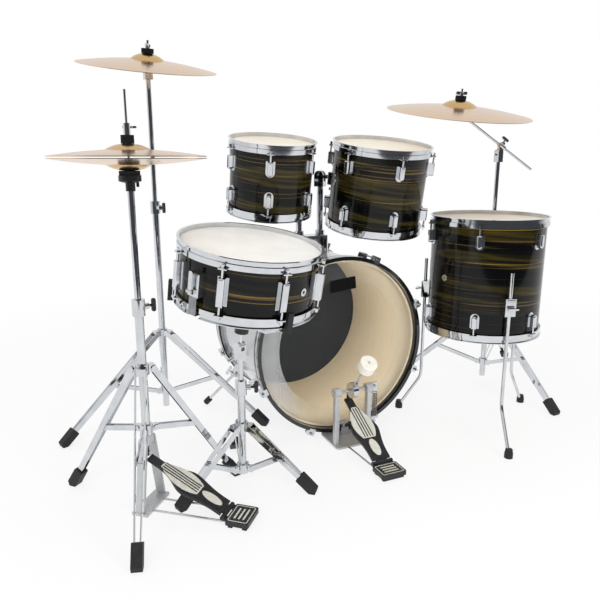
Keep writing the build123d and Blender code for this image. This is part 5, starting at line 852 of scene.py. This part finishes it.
# %% Sweep
SWEEP_MIDDLE, SWEEP_SIZE = (0, 2.6, -0.0005), (12, 10, 1)   # metres, a hair under the feet
SHADED_TO, PLAIN_FROM, SHADED_SHARE = 1.0, 2.6, 0.8
bpy.ops.object.select_all(action="DESELECT")
bpy.ops.mesh.primitive_plane_add(size=1, location=SWEEP_MIDDLE)
sweep = bpy.context.object
sweep.name = "sweep"
sweep.scale = SWEEP_SIZE
bpy.ops.object.transform_apply(location=True, rotation=True, scale=True)
SWEEP, tree, shader, where = finish("white_paper_sweep", Roughness=0.7, Base_Color=colour("#F4F4F4"))
path = add(tree, "LightPath").outputs
seen = add(tree, "Math", {0: path["Is Camera Ray"], 1: path["Is Glossy Ray"]}, operation="MAXIMUM").outputs[0]
far = add(tree, "VectorMath", {0: where}, operation="LENGTH").outputs["Value"]
plain = add(tree, "MapRange", {"Value": far, "From Min": SHADED_TO, "From Max": PLAIN_FROM,
                               "To Min": SHADED_SHARE, "To Max": 1.0}).outputs[0]
share = add(tree, "Math", {0: seen, 1: plain}, operation="MULTIPLY").outputs[0]
glow = add(tree, "Emission", {"Color": (1, 1, 1, 1), "Strength": 1.0}).outputs[0]
paper = add(tree, "MixShader", {0: share, 1: shader.outputs[0], 2: glow})
tree.links.new(paper.outputs[0], tree.nodes["Material Output"].inputs["Surface"])
sweep.data.materials.append(SWEEP)
print("sweep laid,", SWEEP_SIZE[0], "by", SWEEP_SIZE[1], "metres")

# %% [markdown]
# Towards the ceiling it is lighter again, but only in mirrors, so that the cymbals stay bright from behind.

# %% Room
CEILING_FROM, CEILING_FULL, CEILING_LIFT = 0.15, 0.6, 0.4   # steepness of a view line, and what it adds
ROOM_TONES = ((0.28, "#4A4B4E"), (0.52, "#F2F2F2"))
world = bpy.context.scene.world or bpy.data.worlds.new("world")
bpy.context.scene.world = world
world.use_nodes = True
tree = world.node_tree
path = add(tree, "LightPath").outputs
heading = add(tree, "SeparateXYZ", {0: add(tree, "TexCoord").outputs["Generated"]}).outputs
side = add(tree, "MapRange", {"Value": heading["Y"], "From Min": -1.0, "From Max": 1.0}).outputs[0]
height = add(tree, "MapRange", {"Value": heading["Z"], "From Min": CEILING_FROM, "From Max": CEILING_FULL,
                                "To Max": CEILING_LIFT}).outputs[0]
ceiling = add(tree, "Math", {0: height, 1: path["Is Glossy Ray"]}, operation="MULTIPLY").outputs[0]
level = add(tree, "Math", {0: side, 1: ceiling}, operation="ADD").outputs[0]
room = add(tree, "ValToRGB", {"Fac": level}, stops=ROOM_TONES).outputs[0]
shown = add(tree, "Mix", {0: path["Is Camera Ray"], 6: room, 7: (1, 1, 1, 1)}, data_type="RGBA").outputs[2]
tree.links.new(shown, tree.nodes["Background"].inputs["Color"])
print("room set:", world.name)

# %% [markdown]
# A weak one just inside the bass drum adds the light that falls through its clear head onto the ply. No
# lamp is seen by the camera or in the chrome.

# %% Lamps


def lamp(name, place, target, size, watts):
    """Soft square lamp aimed at a target, left out of the picture and of the mirrors of the chrome."""
    light = bpy.data.lights.new(name, "AREA")
    light.shape, light.size, light.energy = "SQUARE", size, watts
    made = bpy.data.objects.new(name, light)
    bpy.context.scene.collection.objects.link(made)
    made.location = place
    made.visible_camera = made.visible_glossy = False
    made.rotation_euler = (Vector(target) - Vector(place)).to_track_quat("-Z", "Y").to_euler()


LAMPS = (   # name, place, what it is aimed at, side of the square, watts
    ("key", (-2.2, -2.6, 2.2), (0, 0.1, 0.5), 2.0, 70),
    ("front", (0.5, -3.4, 1.1), (0, 0.3, 0.35), 1.6, 75),
    ("top", (0.2, 0.2, 3.6), (0, 0.2, 0.6), 2.6, 25),
    ("through the batter head", (0, 0.035, 0.303), (0, 0.4, 0.303), 0.36, 0.7),
)
for settings in LAMPS:
    lamp(*settings)
print("lamps:", len(LAMPS))
